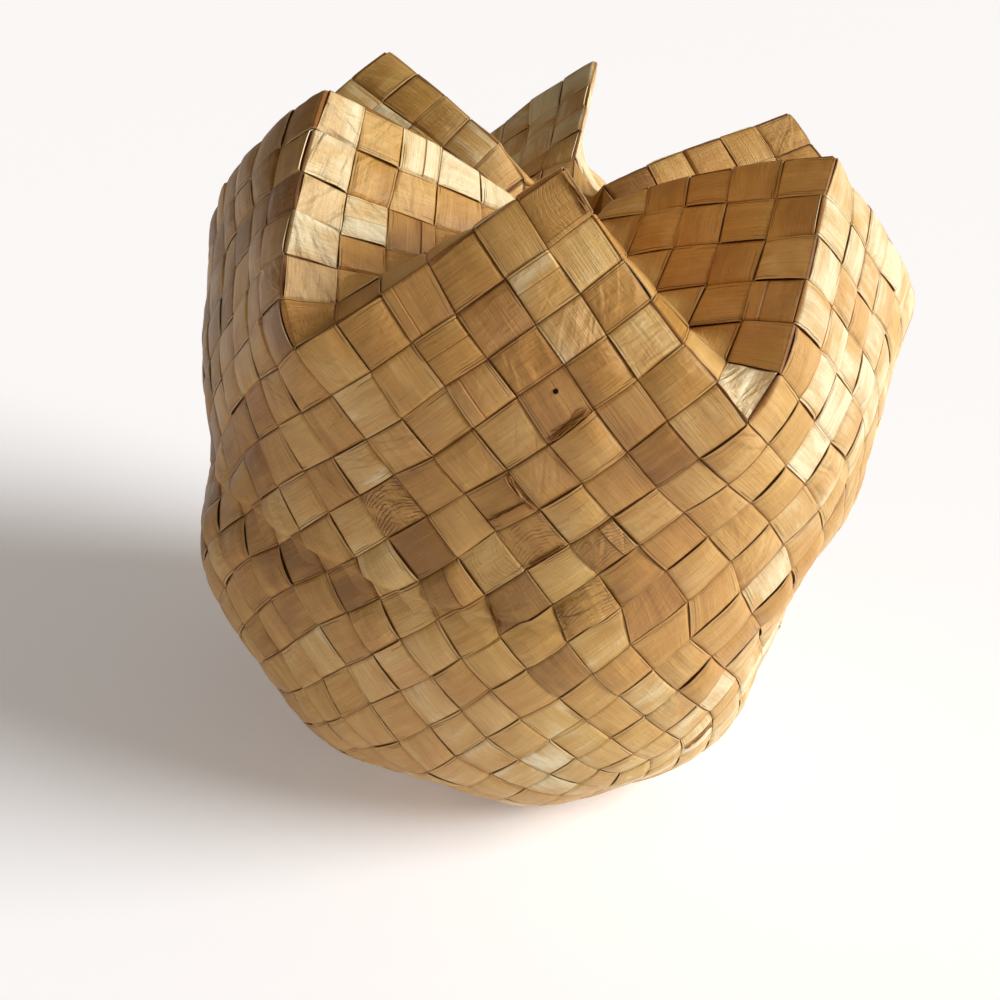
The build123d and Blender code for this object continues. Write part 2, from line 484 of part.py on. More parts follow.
def trace_strips(cells):
    """Follows every strip through the cells. Returns 36 runs of
    (cell, entry edge, exit edge), each cut at the middle of the base."""
    owner = {}
    for ci, c in enumerate(cells):
        q = c['v']
        for a in range(4):
            owner[(q[a], q[(a + 1) % 4])] = (ci, a)
    seen = set()
    loops = []
    for ci in range(len(cells)):
        for a in (0, 1):
            if (ci, a % 2) in seen:
                continue
            run = []
            cur, ent = ci, a
            while (cur, ent % 2) not in seen:
                seen.add((cur, ent % 2))
                ext = (ent + 2) % 4
                run.append((cur, ent, ext))
                q = cells[cur]['v']
                e = (q[(ext + 1) % 4], q[ext])
                cur, ent = owner[e]
            loops.append(run)
    out = []
    made = 0
    for run in loops:
        star = [cells[c[0]]['kind'] in ('face', 'panel', 'valley') for c in run]
        n = len(run)
        cuts = []
        for s0 in range(n):
            if not star[s0] and star[s0 - 1]:
                L = 0
                while not star[(s0 + L) % n]:
                    L += 1
                # the ends are spread out so that no line of the base is left open
                step = (-3, 1, -1, 3, 0, 2, -2)[made % 7]
                made += 1
                cuts.append((s0 + L // 2 + step) % n)
        cuts.sort()
        for i, c0 in enumerate(cuts):
            c1 = cuts[(i + 1) % len(cuts)]
            L = (c1 - c0) % n or n
            out.append([run[(c0 + j) % n] for j in range(L)])
    return out


# ---- ribbons ------------------------------------------------------------
LEAF_T = 0.6        # thickness of a strip, mm
LIFT = 0.8          # how far over or under the middle of the weave a strip runs, mm
GAP_ALONG = 0.055   # share of a cell left for the step between over and under
GAP_SIDE = 0.03     # share of a cell left beside a strip
GAP_FOLD = 0.105    # the same at a sharp fold
POINT_NAMES = ["front", "right", "back_right", "back", "back_left", "left"]


def unit(v):
    return v / max(np.linalg.norm(v), 1e-12)


def edge_normals(p, crease):
    """Outward normal beside each of the four edges of a cell."""
    if crease is None:
        n = unit(np.cross(p[2] - p[0], p[3] - p[1]))
        return [n, n, n, n]
    if crease == 0:
        a = unit(np.cross(p[1] - p[0], p[2] - p[0]))
        b = unit(np.cross(p[2] - p[0], p[3] - p[0]))
        return [a, a, b, b]
    a = unit(np.cross(p[2] - p[1], p[3] - p[1]))
    b = unit(np.cross(p[3] - p[1], p[0] - p[1]))
    return [b, a, a, b]


def build_ribbons():
    X, col, cells, ids, alias = build_net()
    X = X * STRIP_W
    pts = [cell_points(X, ids, c) for c in cells]
    nrm = [edge_normals(p, c['crease']) for p, c in zip(pts, cells)]
    owner = {}
    for ci, c in enumerate(cells):
        for a in range(4):
            owner[(c['v'][a], c['v'][(a + 1) % 4])] = (ci, a)
    fold = {}
    for (v0, v1), (ci, a) in owner.items():
        cj, b = owner[(v1, v0)]
        fold[(ci, a)] = float(nrm[ci][a] @ nrm[cj][b]) < 0.80
    out = []
    for run in trace_strips(cells):
        plates = []
        for ci, ent, ext in run:
            p = pts[ci]
            over = ent % 2 == 1
            lo, ro = p[ent], p[(ent + 1) % 4]
            rx, lx = p[(ent + 2) % 4], p[(ent + 3) % 4]

            def S(u, v):
                return (lo * (1 - u) + ro * u) * (1 - v) + (lx * (1 - u) + rx * u) * v
            g = lambda a, along: GAP_FOLD if fold[(ci, a % 4)] else (GAP_ALONG if along else GAP_SIDE)
            v0, v1 = g(ent, True), 1 - g(ext, True)
            u0, u1 = g(ent + 3, False), 1 - g(ent + 1, False)
            cr = cells[ci]['crease']
            n4 = nrm[ci]
            corners = [S(u0, v0), S(u1, v0), S(u1, v1), S(u0, v1)]   # EL, ER, XR, XL
            idx = [ent, (ent + 1) % 4, (ent + 2) % 4, (ent + 3) % 4]
            norms = []
            for k, vi in enumerate(idx):
                norms.append(unit(n4[vi] + n4[(vi - 1) % 4]))
            zs = p[:, 2] - BASE_Z * STRIP_W
            lying = cells[ci]['kind'] in ('base', 'wall') and zs.min() < 1.2 * STRIP_W and zs.max() > 0.01
            if lying:
                split = 0
            elif cr is None:
                m = sum(corners) / 4
                n = n4[0]
                corners = [q - n * float((q - m) @ n) for q in corners]
                split = None
            else:
                split = 0 if idx[0] % 2 == cr else 1
            sgn = LIFT if over else -LIFT
            top = [q + n * (sgn + LEAF_T / 2) for q, n in zip(corners, norms)]
            bot = [q + n * (sgn - LEAF_T / 2) for q, n in zip(corners, norms)]
            plates.append(dict(top=top, bot=bot, split=split, cell=ci, ent=ent, ext=ext,
                               u0=u0, u1=u1, over=over))
        faces = []      # lists of points, outward anticlockwise
        first = plates[0]
        faces.append([first['top'][0], first['bot'][0], first['bot'][1], first['top'][1]])
        for k, pl in enumerate(plates):
            T, B = pl['top'], pl['bot']
            if pl['split'] is None:
                faces.append([T[0], T[1], T[2], T[3]])
                faces.append([B[3], B[2], B[1], B[0]])
                faces.append([T[0], T[3], B[3], B[0]])
                faces.append([T[1], B[1], B[2], T[2]])
            else:
                if pl['split'] == 0:
                    tri = [(0, 1, 2), (0, 2, 3)]
                else:
                    tri = [(0, 1, 3), (1, 2, 3)]
                for a, b, c in tri:
                    faces.append([T[a], T[b], T[c]])
                    faces.append([B[c], B[b], B[a]])
                faces += [[T[0], T[3], B[3]], [T[0], B[3], B[0]],
                          [T[1], B[1], B[2]], [T[1], B[2], T[2]]]
            # a cross section is left-top, right-top, right-bottom, left-bottom
            here = [T[3], T[2], B[2], B[3]]
            if k + 1 == len(plates):
                faces.append([here[0], here[1], here[2], here[3]])
                break
            nx = plates[k + 1]
            there = [nx['top'][0], nx['top'][1], nx['bot'][1], nx['bot'][0]]
            chain = [here]
            if fold[(pl['cell'], pl['ext'])]:
                pa, pb = pts[pl['cell']], pts[nx['cell']]
                L0, R0 = pa[(pl['ext'] + 1) % 4], pa[pl['ext']]
                L1, R1 = pb[nx['ent']], pb[(nx['ent'] + 1) % 4]
                L0, R0 = (L0 + L1) / 2, (R0 + R1) / 2
                n = nrm[pl['cell']][pl['ext']] + nrm[nx['cell']][nx['ent']]
                cosh = max(0.55, float(np.linalg.norm(n)) / 2)
                n = unit(n) / cosh
                u0 = max(pl['u0'], nx['u0'])
                u1 = min(pl['u1'], nx['u1'])
                l, r = L0 + (R0 - L0) * u0, L0 + (R0 - L0) * u1
                h = LEAF_T / 2
                chain.append([l + n * h, r + n * h, r - n * h, l - n * h])
            chain.append(there)
            for s0, s1 in zip(chain[:-1], chain[1:]):
                for a in range(4):
                    b = (a + 1) % 4
                    q = [s0[a], s0[b], s1[b], s1[a]]
                    faces.append([q[0], q[1], q[2]])
                    faces.append([q[0], q[2], q[3]])
        names = []
        for ci, ent, ext in run:
            c = cells[ci]
            if c['kind'] == 'face' or (c['kind'] == 'wall' and c['name'][0][0] == 'w' and c['name'][0][2] == 0):
                t = int((c['name'][0][1] / 2.0) // 6) % POINTS
                names.append(t)
        out.append(dict(faces=faces, plates=plates, run=run, first=names[0], last=names[-1]))
    allp = np.array([q for r in out for f in r['faces'] for q in f])
    lo, hi = allp.min(0), allp.max(0)
    shift = -np.array([(lo[0] + hi[0]) / 2, (lo[1] + hi[1]) / 2, lo[2]])
    return out, shift, (hi - lo), cells


def ribbon_solid(faces, shift):
    made = []
    for f in faces:
        made.append(Face(Wire.make_polygon([Vector(*[float(x) for x in (q + shift)]) for q in f], close=True)))
    return Solid(Shell(made))


os.makedirs("parts", exist_ok=True)
ribbons, shift, extent, net_cells = build_ribbons()
made_names = []
for number, rib in enumerate(ribbons, 1):
    name = "leaf_strip_%02d_%s_to_%s" % (number, POINT_NAMES[rib['first']], POINT_NAMES[rib['last']])
    with BuildPart() as leaf_strip:
        add(ribbon_solid(rib['faces'], shift))
    leaf_strip.part.label = name
    export_step(leaf_strip.part, "parts/%s.step" % name, write_pcurves=False)
    made_names.append(name)
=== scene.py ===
import math
import bpy
import bmesh
import numpy as np
from mathutils import Matrix, Vector


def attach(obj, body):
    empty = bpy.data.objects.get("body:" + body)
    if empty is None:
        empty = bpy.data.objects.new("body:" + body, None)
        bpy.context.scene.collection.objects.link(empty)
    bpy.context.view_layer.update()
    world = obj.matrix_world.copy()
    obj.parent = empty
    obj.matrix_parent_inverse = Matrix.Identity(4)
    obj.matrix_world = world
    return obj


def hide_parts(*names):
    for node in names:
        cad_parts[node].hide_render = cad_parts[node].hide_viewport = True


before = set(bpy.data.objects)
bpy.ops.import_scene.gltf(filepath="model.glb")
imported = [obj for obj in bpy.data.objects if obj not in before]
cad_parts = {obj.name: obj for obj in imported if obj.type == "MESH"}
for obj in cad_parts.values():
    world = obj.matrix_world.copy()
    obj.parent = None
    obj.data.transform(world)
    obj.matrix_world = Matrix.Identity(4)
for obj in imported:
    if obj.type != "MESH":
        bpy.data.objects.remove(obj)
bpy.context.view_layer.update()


# ---- driving sizes, mm -------------------------------------------------
STRIP_W = 16.0          # width of one leaf strip = side of one weave cell
COLS = 36               # cell diagonals around the wall (6 per point)
POINTS = 6              # raised points around the top
SIDE = 6                # cells along each fold edge and each ridge
WALL_ROWS = 7           # rows of the wall below the valley level
BASE_N = COLS // 4      # cell diagonals along each side of the square base

# ---- key points of the form, in strip widths: radius, azimuth (deg), z --
APEX = [(5.79, -88.9, 3.80), (5.90, -27.6, 4.20), (5.62, 30.9, 4.03),
        (5.62, 88.8, 4.12), (5.62, 149.6, 4.02), (5.70, -151.0, 3.98)]
VALLEY = [(8.10, -120.0, 0.25), (8.08, -60.2, 0.10), (7.95, 0.8, 0.80),
          (8.05, 60.2, -0.30), (8.10, 119.1, 0.10), (7.75, 178.8, 0.10)]
EDGE_BULGE = [0.10, 0.28, 0.15, 0.05, 0.10, 0.30]
FACE_BULGE = [0.30, 0.30, 0.25, 0.25, 0.25, 0.30]
CENTRE = (-0.02, -0.05, 1.75)
RING_R, RING_Z = 1.12, 1.72       # ends of the ridges round the mouth
MOUTH_VALLEY_R, MOUTH_VALLEY_Z = 1.30, 1.55
MOUTH_LIP_R, MOUTH_LIP_Z = 1.00, 0.20
# wall rows below the valley level: radius and z of the round belly
ROW_R = [7.70, 7.55, 7.42, 7.34, 7.36, 7.05, 6.68, 6.15]
ROW_Z = [0.00, -1.45, -2.68, -3.90, -5.00, -6.25, -7.50, -8.62]
ROW_CX = [0.0, -0.02, -0.04, -0.08, -0.26, -0.34, -0.18, 0.04]
# the bowl from the last wall row to the middle of the base
BASE_PROFILE = [(6.15, -8.62), (5.62, -9.65), (4.55, -10.50), (3.40, -10.95), (2.20, -11.10), (0.0, -11.10)]
BASE_Z = -11.10

# offsets of measured corners from the regular form, in hundredths of a strip
# width: column and row (or point, side, i, j, or place in the base), then x, y, z
WALL_OFFSETS = [
    (0, -6, -13, 7, 25), (0, -4, -10, 9, 27), (0, -2, -6, 10, 16), (0, 0, -9, 4, -8),
    (1, -11, -17, 15, -14), (1, -7, -7, 3, 11), (1, -5, -12, 5, 24), (1, -3, -7, 3, 14),
    (1, -1, -4, 2, -3), (1, 1, -11, -2, -14), (2, -12, -37, 14, -38), (2, -10, -9, 13, -16),
    (2, -8, -2, 6, -2), (2, -6, -7, 4, 14), (2, -4, -11, 1, 16), (2, -2, 0, 0, 0),
    (2, 0, -1, -5, -22), (2, 2, -7, -4, -13), (3, -11, -22, 18, -35), (3, -9, -5, 7, -25),
    (3, -7, -10, 0, -6), (3, -5, -9, 0, 10), (3, -3, -8, 1, 12), (3, -1, 1, -4, -15),
    (3, 1, -3, -7, -23), (3, 3, -3, -4, -7), (4, -12, -28, 19, -59), (4, -10, -11, 16, -40),
    (4, -8, -10, 3, -28), (4, -6, -2, 2, 1), (4, -4, -4, 2, 12), (4, -2, -1, 1, 2),
    (4, 0, 2, -7, -24), (4, 2, -2, -9, -23), (4, 4, -1, -2, -2), (5, -13, -31, 15, -78),
    (5, -11, -15, 20, -55), (5, -9, -5, 9, -46), (5, -7, -18, -1, -24), (5, -5, 0, 0, 4),
    (5, -3, -5, 1, 8), (5, -1, -3, 0, -4), (5, 1, 3, -9, -27), (5, 3, 4, -5, -10),
    (5, 5, -1, -2, -1), (6, -12, -22, 20, -70), (6, -10, -5, 16, -59), (6, -8, -15, 4, -44),
    (6, -6, -2, 3, -5), (6, -4, -6, 0, 6), (6, -2, -1, 0, 2), (6, 0, -5, -7, -20),
    (6, 2, 6, -6, -17), (6, 4, 1, -5, -10), (6, 6, -1, 1, 6), (7, -9, -9, 11, -57),
    (7, -7, -22, -3, -38), (7, -5, -3, 1, 1), (7, -3, 0, -1, 1), (7, -1, -5, -3, -10),
    (7, 1, -1, -4, -12), (7, 3, 4, -7, -15), (7, 5, -1, -3, -4), (8, -10, -4, 16, -69),
    (8, -8, -13, 4, -53), (8, -6, -3, 4, -7), (8, -4, 0, -1, 1), (8, -2, -1, -1, 0),
    (8, 0, 0, -7, -20), (8, 2, -4, -5, -13), (8, 4, -3, -4, -8), (9, -11, 5, 23, -71),
    (9, -9, 3, 13, -66), (9, -7, -19, -1, -41), (9, -3, 0, -2, 2), (9, -1, 1, -2, -5),
    (9, 1, -3, -6, -18), (9, 3, -4, -2, -5), (10, -10, 5, 21, -71), (10, -8, -9, 6, -59),
    (10, -6, 1, 5, -7), (10, -4, 1, -1, 7), (10, -2, 3, 1, 8), (10, 0, -3, -4, -15),
    (10, 2, -3, 0, -5), (11, -11, 17, 27, -77), (11, -9, 4, 18, -69), (11, -7, -17, 0, -48),
    (11, -3, 3, 5, 19), (11, -1, -1, 1, -1), (11, 1, 4, 4, 0), (12, -10, 19, 26, -76),
    (12, -8, -7, 12, -65), (12, -6, 12, 12, -3), (12, -4, 9, 11, 22), (12, -2, 7, 11, 19),
    (12, 0, 5, 8, 1), (13, -11, 27, 29, -81), (13, -9, 18, 21, -74), (13, -7, -11, 7, -53),
    (13, -5, 23, 18, 14), (13, -3, 22, 18, 23), (13, -1, 21, 16, 12), (13, 1, 21, 12, 4),
    (14, -10, 29, 26, -76), (14, -4, 31, 28, 22), (14, -2, 31, 28, 22), (14, 0, 25, 17, 0),
    (14, 2, 8, 15, 10), (15, -5, 35, 36, 20), (15, -3, 45, 39, 25), (15, -1, 31, 33, 17),
    (15, 1, 21, 18, 10), (15, 3, -5, 11, 8), (16, -12, 18, 32, -41), (16, -4, 52, 40, 16),
    (16, -2, 42, 44, 28), (16, 0, 27, 25, 9), (16, 2, 2, 10, 7), (16, 4, -10, 6, 10),
    (17, -3, 51, 52, 39), (17, -1, 36, 42, 30), (17, 1, 5, 17, 8), (17, 3, -14, 2, 4),
    (17, 5, -14, 2, 6), (18, -8, 15, 33, -8), (18, -6, 17, 42, 13), (18, -2, 43, 50, 41),
    (18, 0, 17, 26, 13), (18, 2, -13, 4, 2), (18, 4, -24, -3, 1), (18, 6, -6, -3, 0),
    (19, -13, 21, 16, -6), (19, -7, 0, 38, 13), (19, -1, 22, 39, 36), (19, 1, -1, 12, 6),
    (19, 3, -24, -1, 6), (19, 5, -21, -7, -5), (20, -14, 29, 6, -4), (20, -12, 1, 18, -2),
    (20, -10, 5, 22, -3), (20, -8, -3, 29, 7), (20, -6, 10, 35, 16), (20, 0, 13, 18, 10),
    (20, 2, -13, 3, 5), (20, 4, -15, -3, 5), (21, -13, 5, 10, 3), (21, -7, -3, 28, 14),
    (21, -5, 14, 32, 18), (21, -3, 24, 31, 24), (21, 1, 1, 11, 13), (21, 3, -12, -1, 1),
    (22, -4, 17, 22, 15), (22, -2, 13, 20, 12), (22, 2, -5, 3, -2), (23, -5, 16, 17, 10),
    (23, -1, 2, 11, 3), (23, 1, 1, 6, 2), (24, 0, -3, 6, -2), (26, 2, -2, 0, -1),
    (28, 2, 0, 0, -1), (29, 5, -12, -1, -5), (30, 6, -10, 0, -3), (38, 2, -81, -13, -20),
    (39, 1, -9, -8, -16), (39, 3, -76, -22, -43), (40, 2, -111, -28, -50), (40, 4, -21, -5, -12),
    (41, 1, -101, -29, -52), (41, 3, -54, -14, -27), (41, 5, -4, 2, -2), (42, 6, -1, 4, 1),
    (43, 5, -9, 5, 6), (44, 4, -14, 5, 7), (45, 3, -9, 4, 5), (51, 3, 5, 2, -2),
    (54, 6, 23, 8, 2), (55, 5, 3, 3, -1), (58, -12, 1, 4, -1), (58, -10, 1, 6, 0),
    (58, -2, 0, 1, -1), (58, 0, -2, -1, -3), (60, -12, 1, 7, 0), (60, -10, 2, 11, 3),
    (60, -2, -2, 3, 1), (60, 0, -2, 1, -3), (61, -9, 9, 16, 5), (61, 1, -8, 1, -1),
    (62, -12, -1, 8, 1), (62, -8, 18, 22, 9), (62, -4, -13, 9, 9), (62, 0, -4, 3, -1),
    (62, 2, -15, 1, 0), (63, -9, 15, 20, 9), (63, -5, -17, 13, 13), (63, -3, -16, 10, 10),
    (63, 3, -10, -2, -5), (64, -8, 15, 23, 15), (64, -6, -11, 17, 18), (64, -4, -21, 15, 16),
    (64, 4, -7, -3, -4), (65, -11, -12, 10, 6), (65, -9, -2, 16, 14), (65, -5, -20, 19, 21),
    (65, 3, -3, -5, -13), (65, 5, 5, 2, 8), (66, -12, -9, 8, 7), (66, -10, -20, 11, 11),
    (66, -2, -12, 21, 19), (66, 2, 9, 5, 6), (66, 4, 15, -1, 2), (66, 6, 20, 1, 4),
    (67, -13, -10, 7, 5), (67, 3, 8, -3, -8), (67, 5, 13, -3, 1), (68, 2, -5, 4, 4),
    (69, -3, -29, 23, 34), (69, -1, -25, 17, 14), (69, 3, 0, 0, -4), (70, -6, -17, 19, 41),
    (70, -4, -25, 19, 38), (70, -2, -26, 21, 29), (70, 0, -30, 8, 2), (70, 2, -16, 1, -7),
    (71, -7, -14, 8, 22), (71, -5, -20, 10, 31), (71, -3, -16, 13, 27), (71, -1, -16, 10, 5),
    (71, 1, -29, 3, -6),
]
PANEL_OFFSETS = [
    (0, -1, 0, 2, 1, 5, 5), (0, -1, 0, 4, 8, 13, 7), (0, -1, 1, 3, -3, 6, 4),
    (0, -1, 1, 5, -2, 12, 7), (0, -1, 4, 2, -32, 8, 27), (0, -1, 5, 1, -31, 10, 25),
    (0, 1, 1, 3, 11, 12, 8), (0, 1, 2, 2, 9, 9, 9), (1, -1, 0, 1, -8, 4, 11),
    (1, -1, 0, 2, -14, 9, 10), (1, -1, 0, 3, -4, 15, 16), (1, -1, 0, 4, -1, 21, 27),
    (1, -1, 1, 1, -7, 8, 14), (1, -1, 1, 2, -3, 15, 21), (1, -1, 1, 3, 11, 21, 30),
    (1, -1, 1, 4, 24, 24, 32), (1, -1, 2, 1, -2, 12, 15), (1, -1, 2, 2, 8, 17, 20),
    (1, -1, 2, 3, 18, 21, 28), (1, -1, 3, 1, 4, 16, 18), (1, -1, 3, 2, 17, 19, 25),
    (1, -1, 4, 1, 17, 18, 25), (1, -1, 5, 1, 27, 20, 36), (2, -1, 0, 2, -1, 10, 11),
    (2, -1, 0, 3, 0, 16, 20), (2, -1, 0, 4, 5, 23, 35), (2, -1, 0, 5, -9, 33, 51),
    (2, -1, 2, 4, -8, 14, 16), (3, -1, 0, 1, -4, 4, -1), (3, -1, 0, 2, -1, 7, 1),
    (3, -1, 0, 3, 2, 11, 5), (3, -1, 0, 4, 0, 16, 9), (3, -1, 0, 5, 4, 20, 15),
    (3, -1, 1, 1, -15, 6, 6), (3, -1, 1, 2, -27, 5, 2), (3, -1, 1, 3, -36, 7, 2),
    (3, -1, 1, 4, -19, 12, 6), (3, -1, 1, 5, -1, 19, 19), (3, -1, 2, 1, -49, -1, -5),
    (3, -1, 2, 2, -71, -4, -11), (3, -1, 2, 3, -51, 1, -5), (3, -1, 2, 4, -21, 11, 10),
    (3, -1, 3, 1, -73, -13, -24), (3, -1, 3, 2, -64, -4, -10), (3, -1, 3, 3, -40, 5, 4),
    (3, 1, 1, 2, 0, 6, 1), (3, 1, 1, 4, 2, 15, 10), (3, 1, 2, 1, -1, 3, -1),
    (3, 1, 2, 3, 1, 9, 4), (3, 1, 3, 2, 1, 4, 0), (4, -1, 0, 1, 21, 10, 8),
    (4, -1, 0, 2, 16, 13, 14), (4, -1, 0, 3, 5, 17, 21), (4, -1, 0, 4, 4, 24, 36),
    (4, -1, 2, 2, 8, 7, 3), (5, -1, 0, 1, 3, -1, 11), (5, -1, 0, 2, -4, 0, 10),
    (5, -1, 1, 4, -5, 10, 13), (5, -1, 2, 3, -5, 4, 8), (5, -1, 5, 1, -4, -1, -4),
    (5, 1, 1, 1, 4, -4, 0), (5, 1, 1, 2, -4, -2, 3), (5, 1, 1, 3, -14, 2, 8),
    (5, 1, 2, 1, -4, -7, -12), (5, 1, 2, 2, -16, -5, -3), (5, 1, 2, 3, -18, 0, 4),
    (5, 1, 3, 1, -13, -5, -10), (5, 1, 3, 2, -22, -1, 3), (5, 1, 4, 1, -22, 2, 2),
]
BASE_OFFSETS = [
    (1, 1, 16, 29, -62), (1, 5, -13, 22, -50), (1, 7, -26, 23, -23), (1, 9, -31, 19, -14),
    (1, 11, -31, 10, -25), (1, 13, -23, 8, -11), (1, 15, -13, 7, 5), (2, 2, 9, 29, -36),
    (2, 4, -2, 21, -49), (2, 6, -17, 19, -33), (2, 8, -24, 20, -10), (2, 10, -27, 12, -17),
    (3, 1, 16, 28, -35), (3, 3, 7, 22, -34), (3, 5, -5, 15, -41), (3, 7, -17, 11, -25),
    (3, 9, -22, 9, -16), (4, 2, 13, 23, -16), (4, 4, 7, 12, -39), (5, 1, 21, 19, -18),
    (5, 3, 14, 14, -19), (6, 2, 24, 10, -20),
]

def polar(r, az, z):
    a = math.radians(az)
    return np.array([r * math.cos(a), r * math.sin(a), z])


def build_net():
    """Vertices and four-sided cells of the diagonal plait.

    A vertices carry whole-number column and row, B vertices half-numbers.
    Each cell is (A, B, A, B), anticlockwise from outside."""
    ids, pos, col = {}, [], []

    def vert(key, p=None, colour=None):
        if key not in ids:
            ids[key] = len(pos)
            pos.append(p)
            col.append(colour)
        elif p is not None and pos[ids[key]] is None:
            pos[ids[key]] = p
        return ids[key]

    P = [polar(*a) for a in APEX]
    V = [polar(*v) for v in VALLEY]
    C = np.array(CENTRE)
    alias = {}

    def canon(key):
        return alias.get(key, key)

    # -- outer faces of the points: ('w', 2c, 2k) -------------------------
    def face_point(t, i, k):
        Vl, Vr = V[t], V[(t + 1) % POINTS]
        mid = (Vl + Vr) / 2
        p = Vl + (Vr - Vl) * (i / 6.0) + (P[t] - mid) * (k / 3.0)
        n = np.cross(Vr - Vl, P[t] - mid)
        n /= np.linalg.norm(n)
        # along the fold edges the bulge dies out at both ends
        left = i - k
        right = 6 - i - k
        s = k / 3.0
        edge = math.sin(math.pi * s) if 0 < s < 1 else 0.0
        across = 0.0
        width = 6 - 2 * k
        if width > 0:
            across = math.sin(math.pi * left / width)
        b = EDGE_BULGE[t] * edge + FACE_BULGE[t] * across * (1 - 0.55 * s)
        q = p + n * b
        if t == 3:
            # the back point has its far fold pushed in
            wr = max(0.0, 1 - left / max(width, 1e-6)) * edge
            q = q + np.array([-1.35, 0.35, 0.0]) * wr
        return q

    for t in range(POINTS):
        for k2 in range(0, 7):
            k = k2 / 2.0
            lo, hi = k, 6 - k
            i = lo
            while i <= hi + 1e-9:
                key = ('w', int(round(2 * (6 * t + i))) % (2 * COLS), k2)
                vert(key, face_point(t, i, k), k2 % 2)
                i += 1.0
    # -- wall rows ---------------------------------------------------------
    for r2 in range(1, 2 * WALL_ROWS + 1):
        k2 = -r2
        rr = np.interp(r2 / 2.0, range(WALL_ROWS + 1), ROW_R)
        zz = np.interp(r2 / 2.0, range(WALL_ROWS + 1), ROW_Z)
        cx = np.interp(r2 / 2.0, range(WALL_ROWS + 1), ROW_CX)
        s = [0.0, 0.24, 0.44, 0.60, 0.74, 0.85, 0.93, 0.98, 1.0][min(r2, 8)]
        for c2 in range(r2 % 2, 2 * COLS, 2):
            c = c2 / 2.0
            t = int(c // 6)
            i = c - 6 * t
            Vl, Vr = V[t % POINTS], V[(t + 1) % POINTS]
            ph = Vl + (Vr - Vl) * (i / 6.0)
            n = np.array([ph[0], ph[1], 0.0])
            n /= np.linalg.norm(n)
            ph = ph + n * FACE_BULGE[t % POINTS] * math.sin(math.pi * i / 6.0)
            az = -120.0 + 10.0 * c
            row = r2 / 2.0
            d180 = (az - 185.0 + 180.0) % 360.0 - 180.0
            d0 = (az + 10.0 + 180.0) % 360.0 - 180.0
            bump = (-0.30 * math.exp(-((row - 3.0) / 1.0) ** 2)
                    + 0.50 * math.exp(-((row - 6.2) / 1.1) ** 2)) * math.exp(-(d180 / 40.0) ** 2)
            bump += (0.20 * math.exp(-((row - 3.0) / 0.7) ** 2)
                     - 0.30 * math.exp(-((row - 4.8) / 0.9) ** 2)) * math.exp(-(d0 / 32.0) ** 2)
            zz2 = zz - 0.55 * math.exp(-(d180 / 55.0) ** 2) * min(1.0, max(0.0, (row - 1.0) / 2.5))
            pc = polar(rr + bump, az, 0.0) + np.array([cx, 0.0, 0.0])
            hor = ph[:2] * (1 - s) + pc[:2] * s
            vert(('w', c2, k2), np.array([hor[0], hor[1], zz2 + (ph[2]) * (1 - s)]), r2 % 2)
    # -- base: square plait, its corners at columns 6, 15, 24, 33 ----------
    N = BASE_N

    def ring_key(gx, gy):
        if gy == 0:
            c = 6 + gx
        elif gx == N:
            c = 15 + gy
        elif gy == N:
            c = 24 + (N - gx)
        else:
            c = 33 + (N - gy)
        return ('w', (2 * c) % (2 * COLS), -2 * WALL_ROWS)

    def base_point(gx, gy):
        # square to disc, then onto the lower bowl
        x = 2.0 * gx / N - 1.0
        y = 2.0 * gy / N - 1.0
        m = max(abs(x), abs(y))
        if m < 1e-9:
            return np.array([0.0, 0.0, BASE_Z])
        # angle measured so that (gx=0,gy=0) is column 6
        if y == -m:
            ang = (x / m + 1) / 2 * 90.0
        elif x == m:
            ang = 90.0 + (y / m + 1) / 2 * 90.0
        elif y == m:
            ang = 180.0 + (1 - (x / m + 1) / 2) * 90.0
        else:
            ang = 270.0 + (1 - (y / m + 1) / 2) * 90.0
        az = -60.0 + ang
        pr = np.array(BASE_PROFILE)
        seg = np.r_[0.0, np.cumsum(np.linalg.norm(np.diff(pr, axis=0), axis=1))]
        s = (1.0 - m) * seg[-1]
        r = np.interp(s, seg, pr[:, 0])
        z = np.interp(s, seg, pr[:, 1])
        return polar(r, az, z)

    for gx2 in range(0, 2 * N + 1):
        for gy2 in range(0, 2 * N + 1):
            if (gx2 + gy2) % 2:
                continue
            gx, gy = gx2 / 2.0, gy2 / 2.0
            if gx2 % 2 == 0:
                if gx in (0, N) or gy in (0, N):
                    alias[('b', gx2, gy2)] = ring_key(gx, gy)
                else:
                    vert(('b', gx2, gy2), base_point(gx, gy), 0)
            else:
                vert(('b', gx2, gy2), base_point(gx, gy), 1)
    # -- inner panels -------------------------------------------------------
    # key ('p', t, side, i, j); side -1 towards valley t, +1 towards valley t+1
    ring = []
    for t in range(POINTS):
        az = APEX[t][1]
        ring.append(polar(RING_R, az, RING_Z) + np.array([C[0], C[1], 0]))
    for t in range(POINTS):
        for side in (-1, 1):
            vt = t if side < 0 else (t + 1) % POINTS
            mv = polar(MOUTH_VALLEY_R, VALLEY[vt][1], MOUTH_VALLEY_Z) + np.array([C[0], C[1], 0])
            for i in range(0, 7):
                for j in range(0, 7 - i):
                    key = ('p', t, side, i, j)
                    if j == 0:
                        c2 = (2 * (6 * t + 3) + side * i) % (2 * COLS)
                        alias[key] = ('w', c2, 6 - i)
                        continue
                    if i == 0 and j == 6:
                        alias[key] = ('C',)
                        continue
                    if i == 0 and side == 1:
                        alias[key] = ('p', t, -1, 0, j)
                        continue
                    if i + j == 6 and side == 1:
                        alias[key] = ('p', (t + 1) % POINTS, -1, i, j)
                        continue
                    # affine panel
                    lin = P[t] + (V[vt] - P[t]) * (i / 6.0) + (C - P[t]) * (j / 6.0)
